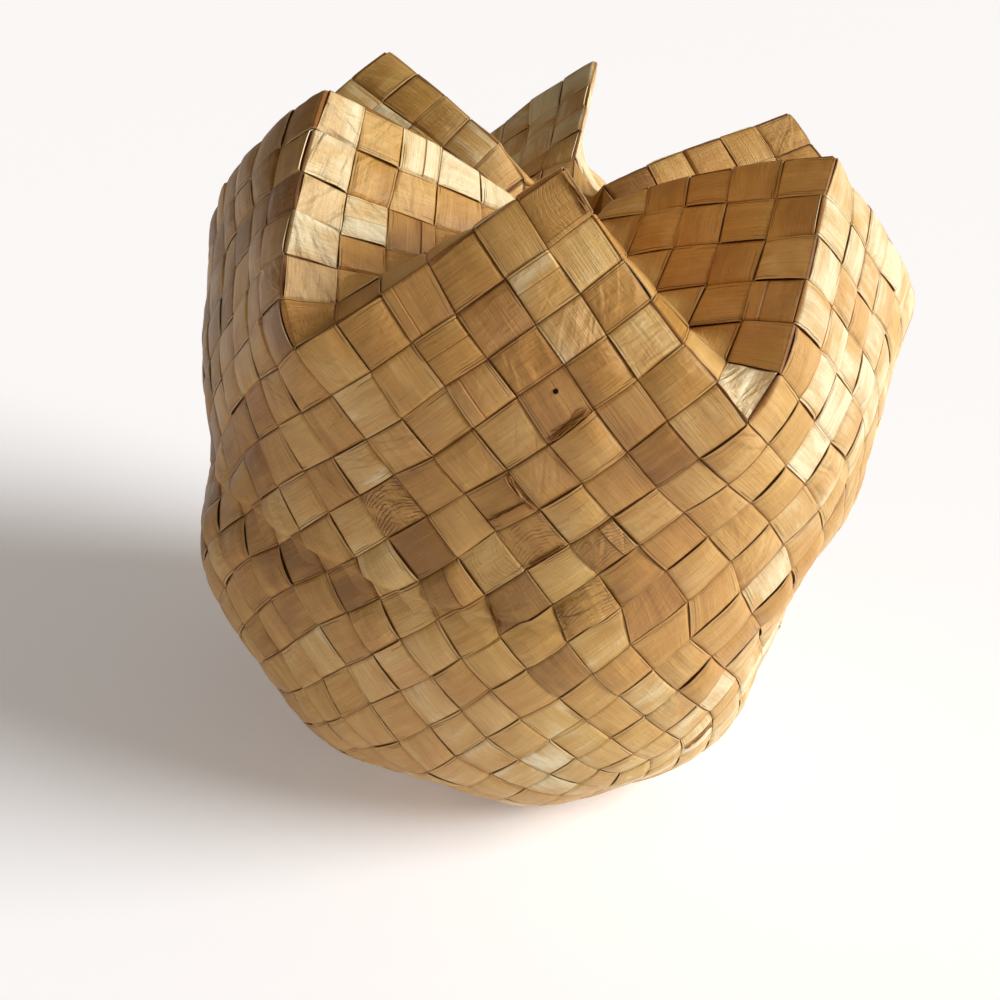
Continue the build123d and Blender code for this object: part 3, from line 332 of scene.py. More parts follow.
                    # fold-edge bulge carried into the panel
                    fe = pos[ids[('w', (2 * (6 * t + 3) + side * i) % (2 * COLS), 6 - i)]]
                    off0 = fe - (P[t] + (V[vt] - P[t]) * (i / 6.0))
                    w0 = max(0.0, 1 - j / max(1.0, 6.0 - i))
                    p = lin + off0 * w0
                    # ends near the mouth
                    lin_r = P[t] + (C - P[t]) * (5 / 6.0)
                    lin_v = V[vt] + (C - V[vt]) * (5 / 6.0)
                    if j >= 3:
                        wr = max(0.0, (j - 2) / 3.0) ** 2 * max(0.0, 1 - i / 1.0)
                        wv = max(0.0, (j - 2) / 3.0) ** 2 * min(1.0, i / 1.0)
                        p = p + (ring[t] - lin_r) * wr + (mv - lin_v) * wv
                    vert(key, p, (i + j) % 2)
    for t in range(POINTS):
        az = VALLEY[t][1]
        vert(('Cm', t), polar(MOUTH_LIP_R, az, MOUTH_LIP_Z) + np.array([C[0], C[1], 0]), 0)
    vert(('C',), C, 0)

    cells = []   # (keys, crease, kind)

    def add_cell(keys, kind, crease=None, mouth=None):
        q = [ids[canon(k)] for k in keys]
        if col[q[0]] == 1:
            q = q[1:] + q[:1]
            crease = None if crease is None else 1 - crease
        cells.append(dict(v=q, kind=kind, crease=crease, mouth=mouth, name=keys))

    for k2 in range(-2 * WALL_ROWS, 1, 2):
        for c in range(COLS):
            c2 = 2 * c
            if k2 == -2 * WALL_ROWS:
                low = None
                side, st = divmod((c - 6) % COLS, N)
                if side == 0:
                    low = ('b', 2 * st + 1, 1)
                elif side == 1:
                    low = ('b', 2 * N - 1, 2 * st + 1)
                elif side == 2:
                    low = ('b', 2 * (N - st) - 1, 2 * N - 1)
                else:
                    low = ('b', 1, 2 * (N - st) - 1)
            else:
                low = ('w', (c2 + 1) % (2 * COLS), k2 - 1)
            add_cell([('w', c2, k2), low, ('w', (c2 + 2) % (2 * COLS), k2),
                      ('w', (c2 + 1) % (2 * COLS), k2 + 1)], 'wall')
            if k2 < 0:
                add_cell([('w', c2, k2), ('w', (c2 + 1) % (2 * COLS), k2 + 1),
                          ('w', c2, k2 + 2), ('w', (c2 - 1) % (2 * COLS), k2 + 1)], 'wall')
    for t in range(POINTS):
        for k in range(0, 3):
            for i in range(k + 1, 6 - k):
                c2 = 2 * (6 * t + i)
                add_cell([('w', c2, 2 * k), ('w', (c2 + 1) % (2 * COLS), 2 * k + 1),
                          ('w', c2, 2 * k + 2), ('w', (c2 - 1) % (2 * COLS), 2 * k + 1)], 'face')
            if k > 0:
                for i in range(k, 6 - k):
                    c2 = 2 * (6 * t + i)
                    add_cell([('w', c2, 2 * k), ('w', c2 + 1, 2 * k - 1),
                              ('w', c2 + 2, 2 * k), ('w', c2 + 1, 2 * k + 1)], 'face')
        for side in (-1, 1):
            for i in range(0, 5):
                for j in range(0, 5 - i):
                    q = [('p', t, side, i, j), ('p', t, side, i + 1, j),
                         ('p', t, side, i + 1, j + 1), ('p', t, side, i, j + 1)]
                    if side < 0:
                        q = q[::-1]
                    add_cell(q, 'panel')
        # valley cells between point t-1 (its right panel) and point t (left)
        for m in range(0, 6):
            tp = (t - 1) % POINTS
            q = [('p', t, -1, 6 - m, m), ('p', t, -1, 5 - m, m),
                 ('p', t, -1, 5 - m, m + 1), ('p', tp, 1, 5 - m, m)]
            add_cell(q, 'valley', crease=(0 if m < 5 else None), mouth=(t if m == 5 else None))
    for gx in range(0, N + 1):
        for gy in range(0, N + 1):
            # cells on inner grid lines
            if gx < N and 0 < gy < N:
                add_cell([('b', 2 * gx, 2 * gy), ('b', 2 * gx + 1, 2 * gy + 1),
                          ('b', 2 * gx + 2, 2 * gy), ('b', 2 * gx + 1, 2 * gy - 1)], 'base')
            if gy < N and 0 < gx < N:
                add_cell([('b', 2 * gx, 2 * gy), ('b', 2 * gx - 1, 2 * gy + 1),
                          ('b', 2 * gx, 2 * gy + 2), ('b', 2 * gx + 1, 2 * gy + 1)], 'base')
    X = np.array(pos)
    X = settle(relax(X, ids, cells), ids, cells)
    return X, np.array(col), cells, ids, alias


def relax(X, ids, cells):
    """Evens out the cells of the bowl and base on the bowl's own profile."""
    free = np.zeros(len(X), bool)
    for key, i in ids.items():
        if key[0] == 'b' or (key[0] == 'w' and key[2] <= -10):
            free[i] = True
    E = set()
    for c in cells:
        for a in range(4):
            e = tuple(sorted((c['v'][a], c['v'][(a + 1) % 4])))
            if free[e[0]] or free[e[1]]:
                E.add(e)
    E = np.array(sorted(E))
    prof = [(ROW_R[i], ROW_Z[i]) for i in range(3, WALL_ROWS)] + BASE_PROFILE
    prof = np.array(prof)
    seg = np.r_[0.0, np.cumsum(np.linalg.norm(np.diff(prof, axis=0), axis=1))]
    ss = np.linspace(0, seg[-1], 400)
    pr = np.stack([np.interp(ss, seg, prof[:, 0]), np.interp(ss, seg, prof[:, 1])], 1)
    X = X.copy()
    deg = np.zeros(len(X))
    np.add.at(deg, E[:, 0], 1)
    np.add.at(deg, E[:, 1], 1)
    for it in range(60):
        d = X[E[:, 1]] - X[E[:, 0]]
        L = np.linalg.norm(d, axis=1)
        g = d * (((L - 0.97) / L)[:, None] * 0.12 + 0.05)
        G = np.zeros_like(X)
        np.add.at(G, E[:, 0], g)
        np.add.at(G, E[:, 1], -g)
        X[free] += G[free]
        Y = X[free]
        cx = np.interp(-Y[:, 2], [-z for z in ROW_Z], ROW_CX)
        rho = np.hypot(Y[:, 0] - cx, Y[:, 1])
        # the belly stands out a little further low down on the left side
        dl = (np.degrees(np.arctan2(Y[:, 1], Y[:, 0])) - 195.0 + 180.0) % 360.0 - 180.0
        out = (0.32 * np.exp(-(dl / 42.0) ** 2) * np.exp(-((Y[:, 2] + 8.2) / 1.9) ** 2)
               * np.clip((rho - 3.2) / 1.6, 0.0, 1.0))
        q = np.stack([rho - out, Y[:, 2]], 1)
        j = ((q[:, None] - pr[None]) ** 2).sum(-1).argmin(1)
        tgt = pr[j].copy()
        k = np.where(tgt[:, 0] < 2.6, 1.0, 0.5)
        tgt[:, 0] += out
        nr = rho + (tgt[:, 0] - rho) * k
        nz = Y[:, 2] + (tgt[:, 1] - Y[:, 2]) * k
        sc = nr / np.maximum(rho, 1e-9)
        Y[:, 0] = cx + (Y[:, 0] - cx) * sc
        Y[:, 1] = Y[:, 1] * sc
        Y[:, 2] = nz
        X[free] = Y
    flat = free & (X[:, 2] < BASE_Z + 0.02)
    X[flat, 2] = BASE_Z
    return X


def settle(X, ids, cells):
    """Moves the measured corners by their offsets and eases the rest after them."""
    n = len(X)
    near = [set() for _ in range(n)]
    for c in cells:
        for a in range(4):
            i, j = c['v'][a], c['v'][(a + 1) % 4]
            near[i].add(j)
            near[j].add(i)
    L = np.zeros((n, n))
    for i in range(n):
        if near[i]:
            L[i, i] = 1.0
            for j in near[i]:
                L[i, j] -= 1.0 / len(near[i])
    flat = X[:, 2] < BASE_Z + 0.02
    w = np.where(flat, 0.01, 0.0004)
    rhs = np.zeros((n, 3))
    measured = [(('w', a, b), d) for a, b, *d in WALL_OFFSETS]
    measured += [(('p', a, b, c, e), d) for a, b, c, e, *d in PANEL_OFFSETS]
    measured += [(('b', a, b), d) for a, b, *d in BASE_OFFSETS]
    for key, d in measured:
        i = ids[key]
        w[i] += 9.0
        rhs[i] += 9.0 * np.array(d) / 100.0
    D = np.linalg.solve(L.T @ L + np.diag(w), rhs)
    D[flat, 2] = 0.0
    for key, i in ids.items():
        if key[0] == 'Cm':
            D[i] = D[ids[('C',)]]
    Y = X + D
    # nothing hangs below the level of the base
    reach = np.hypot(Y[:, 0], Y[:, 1])
    Y[~flat, 2] = np.maximum(Y[~flat, 2], BASE_Z + 0.09 * np.maximum(reach[~flat] - 2.2, 0.0))
    return Y


def cell_points(X, ids, cell):
    """Corner positions; the six cells at the mouth have their own inner corner."""
    p = [X[v] for v in cell['v']]
    if cell['mouth'] is not None:
        c = ids[('C',)]
        p = [X[ids[('Cm', cell['mouth'])]] if v == c else X[v] for v in cell['v']]
    return np.array(p)


def trace_strips(cells):
    """Follows every strip through the cells. Returns 36 runs of
    (cell, entry edge, exit edge), each cut at the middle of the base."""
    owner = {}
    for ci, c in enumerate(cells):
        q = c['v']
        for a in range(4):
            owner[(q[a], q[(a + 1) % 4])] = (ci, a)
    seen = set()
    loops = []
    for ci in range(len(cells)):
        for a in (0, 1):
            if (ci, a % 2) in seen:
                continue
            run = []
            cur, ent = ci, a
            while (cur, ent % 2) not in seen:
                seen.add((cur, ent % 2))
                ext = (ent + 2) % 4
                run.append((cur, ent, ext))
                q = cells[cur]['v']
                e = (q[(ext + 1) % 4], q[ext])
                cur, ent = owner[e]
            loops.append(run)
    out = []
    made = 0
    for run in loops:
        star = [cells[c[0]]['kind'] in ('face', 'panel', 'valley') for c in run]
        n = len(run)
        cuts = []
        for s0 in range(n):
            if not star[s0] and star[s0 - 1]:
                L = 0
                while not star[(s0 + L) % n]:
                    L += 1
                # the ends are spread out so that no line of the base is left open
                step = (-3, 1, -1, 3, 0, 2, -2)[made % 7]
                made += 1
                cuts.append((s0 + L // 2 + step) % n)
        cuts.sort()
        for i, c0 in enumerate(cuts):
            c1 = cuts[(i + 1) % len(cuts)]
            L = (c1 - c0) % n or n
            out.append([run[(c0 + j) % n] for j in range(L)])
    return out

# from the net's own frame to the row frame, mm
SHIFT = (-1.02726, 1.16674, 178.70000)


# ======================================================================
#  Looks
# ======================================================================
SEED = 20412
rng = np.random.default_rng(SEED)
MM = 0.001

LEAF = 0.36          # thickness of the leaf, mm
H0 = 0.46            # how far over or under a strip runs, mm
RAMP = 0.068         # share of a cell in which a strip dives

# places of the mesh lines across a strip and along one cell
US = np.array([0.0, 0.022, 0.075, 0.18, 0.30, 0.42, 0.54, 0.66, 0.78, 0.90, 0.968, 1.0])
VS = np.array([0.0, 0.03, 0.062, 0.10, 0.15, 0.22, 0.31, 0.40, 0.50, 0.60, 0.69, 0.78, 0.85,
               0.90, 0.938, 0.97])

# leaves that are split or doubled: cell, the side it runs beside, share of the width
SPLITS = {827: (2, 0.40), 835: (0, 0.45), 836: (2, 0.32), 618: (0, 0.30), 548: (0, 0.23), 541: (2, 0.43), 506: (0, 0.29), 546: (2, 0.38),
          367: (0, 0.28), 336: (0, 0.35), 292: (2, 0.4), 401: (2, 0.5), 368: (2, 0.3)}
# cracked and crumpled leaves: cell, strength
CRACKS = {362: 1.0, 368: 0.35, 366: 0.4, 296: 0.45, 295: 0.3, 156: 0.3, 552: 0.2}
CRUMPLES = {825: 1.0, 830: 1.0, 834: 0.9, 837: 1.0, 826: 0.6, 831: 0.5, 832: 0.5, 835: 0.6, 838: 0.5,
            839: 0.8, 636: 1.5, 585: 0.3, 296: 1.2, 368: 0.7, 366: 0.7, 17: 0.9, 362: 0.8, 294: 0.5}
# frayed borders: cell, side, strength
# and how far in from the side they start
FRAYS = [(367, 0, 1.0, 0.20), (367, 1, 0.8, 0.02), (507, 1, 1.2, 0.0), (552, 1, 0.6, 0.0), (294, 0, 0.5, 0.0),
         (296, 0, 0.6, 0.05), (17, 2, 0.5, 0.0), (366, 1, 0.5, 0.0)]
# open gaps beside a leaf: cell, side, width as a share of the cell
GAPS = {(551, 1): 0.050, (448, 1): 0.08, (378, 3): 0.06, (446, 1): 0.06, (377, 3): 0.05,
        (444, 1): 0.05, (375, 3): 0.04}
# leaves that are plainly browner (below 0) or paler (above 0) than the rest; mostly the leaves' own colour, but the
# lifts on the shaded right inner panel (606 to 619) and the high values on the crumpled, lit left inner panel (825
# to 839) are painted light
TONES_AND_PAINTED_LIGHT = {606: 0.2, 615: 0.5, 617: -0.3, 618: 0.3, 616: 0.0, 607: 0.3, 619: 0.2, 362: -1.6, 367: -1.0, 507: -0.9, 636: 2.2, 585: -1.5, 296: -0.5, 825: 2.7, 830: 2.6,
         834: 2.6, 837: 2.8, 826: 1.7, 839: 0.6, 831: -0.2, 838: 0.0, 832: 1.2, 827: 2.2, 828: 2.2, 829: 2.0, 833: 0.8, 835: 1.6, 548: 0.1, 541: 0.3, 505: 1.0}


def smooth01(x):
    x = np.clip(x, 0.0, 1.0)
    return x * x * (3 - 2 * x)


def unit(v):
    return v / max(np.linalg.norm(v), 1e-12)


def edge_normals(p, crease):
    if crease is None:
        n = unit(np.cross(p[2] - p[0], p[3] - p[1]))
        return [n, n, n, n]
    if crease == 0:
        a = unit(np.cross(p[1] - p[0], p[2] - p[0]))
        b = unit(np.cross(p[2] - p[0], p[3] - p[0]))
        return [a, a, b, b]
    a = unit(np.cross(p[2] - p[1], p[3] - p[1]))
    b = unit(np.cross(p[3] - p[1], p[0] - p[1]))
    return [b, a, a, b]


X, COLR, CELLS, IDS, ALIAS = build_net()
INV = {i: k for k, i in IDS.items()}

# the cells at the outer end of each valley are bent softly, not creased
for c in CELLS:
    if c['kind'] == 'valley' and c['mouth'] is None and any(INV[v][0] == 'w' for v in c['v']):
        c['crease'] = None

# small unevenness of the whole weave
free = np.array([not (INV[i][0] == 'b' or X[i][2] < BASE_Z + 0.3) for i in range(len(X))])
jit = rng.normal(0, 0.010, X.shape)
X = X + jit * free[:, None]

P4 = [np.array(cell_points(X, IDS, c)) * STRIP_W for c in CELLS]
E4 = [edge_normals(p, c['crease']) for p, c in zip(P4, CELLS)]
OWNER = {}
for ci, c in enumerate(CELLS):
    for a in range(4):
        OWNER[(c['v'][a], c['v'][(a + 1) % 4])] = (ci, a)
FOLD = {}
for (v0, v1), (ci, a) in OWNER.items():
    cj, b = OWNER[(v1, v0)]
    FOLD[(ci, a)] = float(E4[ci][a] @ E4[cj][b]) < 0.80

# corner normals, averaged round each vertex within the folds
CORN = [[None] * 4 for _ in CELLS]
for ci, c in enumerate(CELLS):
    for k in range(4):
        if CORN[ci][k] is not None:
            continue
        group, acc = [], np.zeros(3)
        # walk both ways round the vertex until a fold stops it
        seen = set()
        stack = [(ci, k)]
        while stack:
            cj, kk = stack.pop()
            if (cj, kk) in seen:
                continue
            seen.add((cj, kk))
            group.append((cj, kk))
            q = CELLS[cj]['v']
            acc += unit(E4[cj][kk] + E4[cj][(kk - 1) % 4])
            vtx = q[kk]
            for a in (kk, (kk - 1) % 4):
                if FOLD[(cj, a)]:
                    continue
                e = (q[(a + 1) % 4], q[a])
                cn, b = OWNER[e]
                if CELLS[cn]['crease'] is not None and CELLS[cn]['kind'] == 'valley':
                    continue
                qn = CELLS[cn]['v']
                stack.append((cn, qn.index(vtx)))
            if CELLS[cj]['crease'] is not None and CELLS[cj]['kind'] == 'valley':
                break
        n = unit(acc)
        for g in group:
            if CORN[g[0]][g[1]] is None:
                CORN[g[0]][g[1]] = n

# the row number at each corner of a wall cell, for the soft fold round the belly
ROWS = []
for c in CELLS:
    ks = [INV[v][2] if INV[v][0] == 'w' else None for v in c['v']]
    ROWS.append(np.array(ks, float) if c['kind'] == 'wall' and None not in ks else None)


def belly_fold(rho, P):
    """How far the weave stands out, mm, near the soft fold in rows -8 to -5, and the painted shade along the fold
    line.
    """
    az = np.degrees(np.arctan2(P[..., 1], P[..., 0]))
    d = (az + 98.0 + 180.0) % 360.0 - 180.0
    g = 0.08 + 0.92 * smooth01((88.0 - np.abs(d)) / 50.0) * smooth01((42.0 - d) / 40.0)
    wav = 0.05 * np.sin(np.radians(az) * 7.0 + 0.6)
    x = rho + 6.50 + wav
    upper = 1.35 * np.exp(-np.abs(x) / 1.5)
    lower = -1.75 * np.exp(-np.abs(x) / 1.7)
    k = smooth01((x + 0.14) / 0.28)
    # the second value is painted shade along the fold line
    return g * (lower * (1 - k) + upper * k), g * np.exp(-((x + 0.16) / 0.20) ** 2)


def patch(ci, s, t):
    """Position and normal of the middle of the weave, mm, at cell coordinates, and the painted shade along the
    belly fold.
    """
    p = P4[ci]
    cr = CELLS[ci]['crease']
    s = s[..., None]
    t = t[..., None]
    w = [(1 - s) * (1 - t), s * (1 - t), s * t, (1 - s) * t]
    cn = CORN[ci]
    fold_shade = np.zeros(s.shape[:-1])
    if cr is None:
        P = sum(w[k] * p[k] for k in range(4))
        N = sum(w[k] * cn[k] for k in range(4))
        Q = sum(w[k] * (P - ((P - p[k]) * cn[k]).sum(-1, keepdims=True) * cn[k]) for k in range(4))
        P = P * 0.35 + Q * 0.65
    elif cr == 0:
        up = s >= t
        P = np.where(up, p[0] * (1 - s) + p[1] * (s - t) + p[2] * t,
                     p[0] * (1 - t) + p[2] * s + p[3] * (t - s))
        na, nb = E4[ci][0], E4[ci][2]
        x = smooth01((s - t) / 0.16 * 0.5 + 0.5)
        N = na * x + nb * (1 - x)
    else:
        up = (s + t) >= 1
        P = np.where(up, p[2] * (s + t - 1) + p[1] * (1 - t) + p[3] * (1 - s),
                     p[0] * (1 - s - t) + p[1] * s + p[3] * t)
        na, nb = E4[ci][1], E4[ci][0]
        x = smooth01((s + t - 1) / 0.16 * 0.5 + 0.5)
        N = na * x + nb * (1 - x)
    N = N / np.linalg.norm(N, axis=-1, keepdims=True)
    ks = ROWS[ci]
    if ks is not None and ks.min() <= -4 and ks.max() >= -10:
        rho = sum(w[k][..., 0] * ks[k] for k in range(4))
        f, fold_shade = belly_fold(rho, P)
        edge = smooth01((-3.0 - rho) / 2.0) * smooth01((rho + 11.0) / 2.0)
        P = P + N * (f * edge)[..., None]
    return P, N, fold_shade


def to_st(ent, u, v):
    if ent == 0:
        return u, v
    if ent == 1:
        return 1 - v, u
    if ent == 2:
        return 1 - u, 1 - v
    return v, 1 - u


RUNS = trace_strips(CELLS)


def cad_shift():
    """The move from the net's own frame to the row frame, mm."""
    return np.array(SHIFT)


def wave(x, seed, n=4):
    r = np.random.default_rng(seed)
    y = np.zeros_like(x)
    for k in range(1, n + 1):
        y += np.sin(x * k * (0.6 + 0.5 * r.random()) + r.random() * 6.28) * r.normal(0, 1) / k
    return y


def dents(U, V, seed, n=9):
    """Facets of a leaf that has been crumpled: a sum of slanted folds."""
    r = np.random.default_rng(seed)
    y = np.zeros_like(U)
    for k in range(n):
        a = r.random() * 6.283
        f = 1.2 + 3.2 * r.random()
        x = (U * math.cos(a) + V * math.sin(a)) * f + r.random() * 9.0
        y += (np.abs((x % 2.0) - 1.0) - 0.5) * r.normal(0, 1) * 2.2 / f
    return y / math.sqrt(n) * 1.5


def region(ci):
    """Azimuth and height, in strip widths, of a cell."""
    m = P4[ci].mean(0) / STRIP_W
    return math.degrees(math.atan2(m[1], m[0])), m[2]


CELL_TONE_AND_LIGHT, CELL_BOW, CELL_TILT, CELL_WAX, CELL_CRUMPLE = {}, {}, {}, {}, {}
for ci, c in enumerate(CELLS):
    tone = rng.normal(0, 1)
    CELL_TONE_AND_LIGHT[ci] = tone * 0.45 + TONES_AND_PAINTED_LIGHT[ci] if ci in TONES_AND_PAINTED_LIGHT else tone
    az, z = region(ci)
    if -120 < az < -62 and -6 < z < 1 and ci not in TONES_AND_PAINTED_LIGHT:
        CELL_TONE_AND_LIGHT[ci] *= 1.6
    # painted shade: wall and face cells on the left side, away from the key light, are made darker, the low left
    # belly a little
    if c['kind'] == 'wall' and (az > 140 or az < -150):
        CELL_TONE_AND_LIGHT[ci] -= 2.8
    elif c['kind'] == 'face' and (az > 172 or az < -122):
        CELL_TONE_AND_LIGHT[ci] -= 2.0
    elif c['kind'] == 'wall' and az < -122 and z < 2:
        CELL_TONE_AND_LIGHT[ci] -= 0.8
    # painted light: cells of the lit right wall are made paler, the upper ones most
    if c['kind'] in ('wall', 'face') and -62 < az < 40 and z > -9.5 and ci not in TONES_AND_PAINTED_LIGHT:
        lift_ = 2.7 if z > -2.0 else 1.5
        CELL_TONE_AND_LIGHT[ci] = CELL_TONE_AND_LIGHT[ci] * 0.5 + (0.6 if az < -45 else lift_)
    # painted light: faces and panels of the back point are made paler, those towards the back left a little;
    # elsewhere the paler end is cut off
    if c['kind'] in ('panel', 'face') and 60 < az < 130:
        CELL_TONE_AND_LIGHT[ci] += 2.8
    elif c['kind'] in ('panel', 'face') and 130 <= az < 175:
        CELL_TONE_AND_LIGHT[ci] += 0.9
    elif ci not in TONES_AND_PAINTED_LIGHT and not (c['kind'] in ('wall', 'face') and -45 <= az < 40):
        CELL_TONE_AND_LIGHT[ci] = min(CELL_TONE_AND_LIGHT[ci], 1.25)
    # painted light: the low bowl is made paler, most on the lit right side
    if z < -6.3 and ci not in TONES_AND_PAINTED_LIGHT:
        CELL_TONE_AND_LIGHT[ci] = CELL_TONE_AND_LIGHT[ci] * 0.55 + (1.7 if -80 < az < 30 else 0.75)
    bow = 0.16 + abs(rng.normal(0, 0.26))
    loose, amount = 0.03, 0.5
    if c['kind'] in ('wall', 'face') and -80 < az < 30 and -6.5 < z < 3.0:
        loose, amount = 0.20, 0.7
    if c['kind'] == 'wall' and -150 < az < 0 and -5.8 < z < -3.0:
        loose, amount = 0.50, 0.9
    if rng.random() < loose:
        bow += 0.25 + amount * rng.random()
    tilt = np.clip(rng.normal(0, 1, 2) * (0.20, 0.18), -0.30, 0.30)
    if c['kind'] == 'wall' and -55 < az < 40 and z > -6:
        tilt = tilt * 0.45
    if z < -6.3:
        tilt, bow = tilt * 0.6, bow * 0.6
    if c['kind'] == 'base' and z < BASE_Z + 0.6:
        bow, tilt = 0.0, np.zeros(2)
    CELL_BOW[ci] = bow
    CELL_TILT[ci] = tilt
    CELL_WAX[ci] = rng.random()
    CELL_CRUMPLE[ci] = max(CRUMPLES.get(ci, 0.0) * 0.6, 0.26 * rng.random() ** 2)


def ribbon_mesh(name, run, number):
    """One leaf strip, over and under along its run of cells."""
    r = np.random.default_rng(1000 + number * 7)
    n_cells = len(run)
    # sides that wander and leave uneven gaps, as shares of a cell
    side = wave(np.arange(n_cells + 1) * 1.0, 50 + number, 3) * 0.007
    gap_l = 0.008 + 0.012 * r.random(n_cells + 1) ** 2 + 0.022 * (r.random(n_cells + 1) > 0.93)
    gap_r = 0.008 + 0.012 * r.random(n_cells + 1) ** 2 + 0.022 * (r.random(n_cells + 1) > 0.93)
    us = US
    for ci, ent, ext in run:
        if ci in SPLITS and ent % 2 == 1:
            e, f = SPLITS[ci]
            u0 = f if (ent + 3) % 4 == e else 1 - f
            sg = 1.0 if u0 < 0.5 else -1.0
            near = [u0 - sg * 0.008, u0 + sg * 0.008, u0 + sg * 0.026, u0 + sg * 0.045]
            us = np.unique(np.concatenate([us[np.abs(us - u0 - sg * 0.02) > 0.04], near]))
    top_rows, bot_rows, uv_rows, tone_rows, dirt_and_shade_rows, crack_rows, wax_rows = [], [], [], [], [], [], []
    crum_rows = []
    for k, (ci, ent, ext) in enumerate(run):
        over = ent % 2 == 1
        vs = np.append(VS, 1.0) if k == n_cells - 1 else VS
        el, er = (ent + 3) % 4, (ent + 1) % 4
        fe, fx = FOLD[(ci, ent)], FOLD[(ci, ext)]
        fl, fr = FOLD[(ci, el)], FOLD[(ci, er)]
        U, V = np.meshgrid(us, vs)
        lens = np.sin(np.pi * np.clip(V, 0, 1)) ** 0.7
        lo = gap_l[k] * (1 - V) + gap_l[k + 1] * V + (0.030 if fl else 0.0)
        hi = gap_r[k] * (1 - V) + gap_r[k + 1] * V + (0.030 if fr else 0.0)
        if over:
            lo = lo + GAPS.get((ci, el), 0.0) * lens
            hi = hi + GAPS.get((ci, er), 0.0) * lens
        lat = side[k] * (1 - V) + side[k + 1] * V
        uu = lo + (1 - lo - hi) * U + lat * np.sin(np.pi * U)
        uu = np.clip(uu, 0.004, 0.996)
        s, t = to_st(ent, uu, V)
        P, N, fold_shade = patch(ci, s, t)
        a = V / RAMP
        b = (1 - V) / RAMP
        dirt_and_shade = np.zeros_like(U)
        part = np.zeros_like(U)
        if over:
            ga, gb = GAPS.get((ci, ent), 0.0), GAPS.get((ci, ext), 0.0)
            ea = smooth01((V - ga * lens) / RAMP) if not fe else 0.55 + 0.45 * smooth01(a)
            eb = smooth01(((1 - V) - gb * lens) / RAMP) if not fx else 0.55 + 0.45 * smooth01(b)
            env = np.minimum(ea, eb)
            h = H0 * env
            plate = smooth01(V / 0.30) * smooth01((1 - V) / 0.30)
            if CELLS[ci]['kind'] != 'valley':
                h = h + CELL_BOW[ci] * plate * (0.5 + 0.6 * (1 - (2 * U - 1) ** 2))
            h = h + (CELL_TILT[ci][0] * (2 * U - 1) + CELL_TILT[ci][1] * (2 * V - 1)) * env
            # slight crown, rounded sides that curl up or down
            h = h + 0.19 * (1 - (2 * U - 1) ** 2) * env
            cl, cr_ = r.normal(-0.02, 0.11, 2)
            h = h + env * (cl * (1 - U) ** 6 + cr_ * U ** 6)
            h = h + env * 0.05 * wave(V * 6.0 + U * 1.5, 7000 + ci, 3) * smooth01(V / 0.2)
            if ci in CRUMPLES:
                h = h + env * CRUMPLES[ci] * 0.36 * dents(U, V, 900 + ci)
            if ci in SPLITS:
                e, f = SPLITS[ci]
                u0 = f if el == e else 1 - f
                sg = 1.0 if u0 < 0.5 else -1.0
                st = (U > u0).astype(float)
                h = h + env * 0.42 * ((1 - st) if sg > 0 else st)
                part = (1 - st) if sg > 0 else st
                xs = (U - u0) * sg
                # painted shade: a darker line in the step beside the raised part of a split leaf
                dirt_and_shade = dirt_and_shade + 1.0 * ((xs > 0) & (xs < 0.02)) + 0.45 * ((xs >= 0.02) & (xs < 0.035))
            # painted shade, with some grime, towards both ends where the plate dives under its neighbours
            dirt_and_shade = dirt_and_shade + 1.0 - smooth01(np.minimum(V - ga * lens, 1 - V - gb * lens) / 0.034)
            for fc, fside, fstr, fstart in FRAYS:
                if fc == ci:
                    dd = (t, 1 - s, 1 - t, s)[fside]
                    dirt_and_shade = dirt_and_shade + 0.55 * fstr * np.exp(-((dd - fstart - 0.05) / 0.045) ** 2)
        else:
            ea = smooth01(a) if not fe else -0.55 + 1.55 * smooth01(a)
            eb = smooth01(b) if not fx else -0.55 + 1.55 * smooth01(b)
            h = -H0 * np.minimum(ea, eb)
            # painted shade: the part that runs under its neighbours is darkened all along
            dirt_and_shade = dirt_and_shade + 1.0
        # long gentle wrinkles along the leaf
        wr = wave(U * 9.0 + 0.35 * (k + V) + number, 300 + number * 3, 4) * 0.035
        h = h + wr * (1.0 if over else 0.3)
        if CELLS[ci]['kind'] == 'base' and P[..., 2].min() < (BASE_Z + 0.06) * STRIP_W:
            h = np.minimum(h, H0 + 0.15)
        th = LEAF / 2
        top_rows.append(P + N * (h + th)[..., None])
        bot_rows.append((P + N * (h - th)[..., None])[:, [0, -1]])
        uv_rows.append(np.stack([uu, V + k], -1))
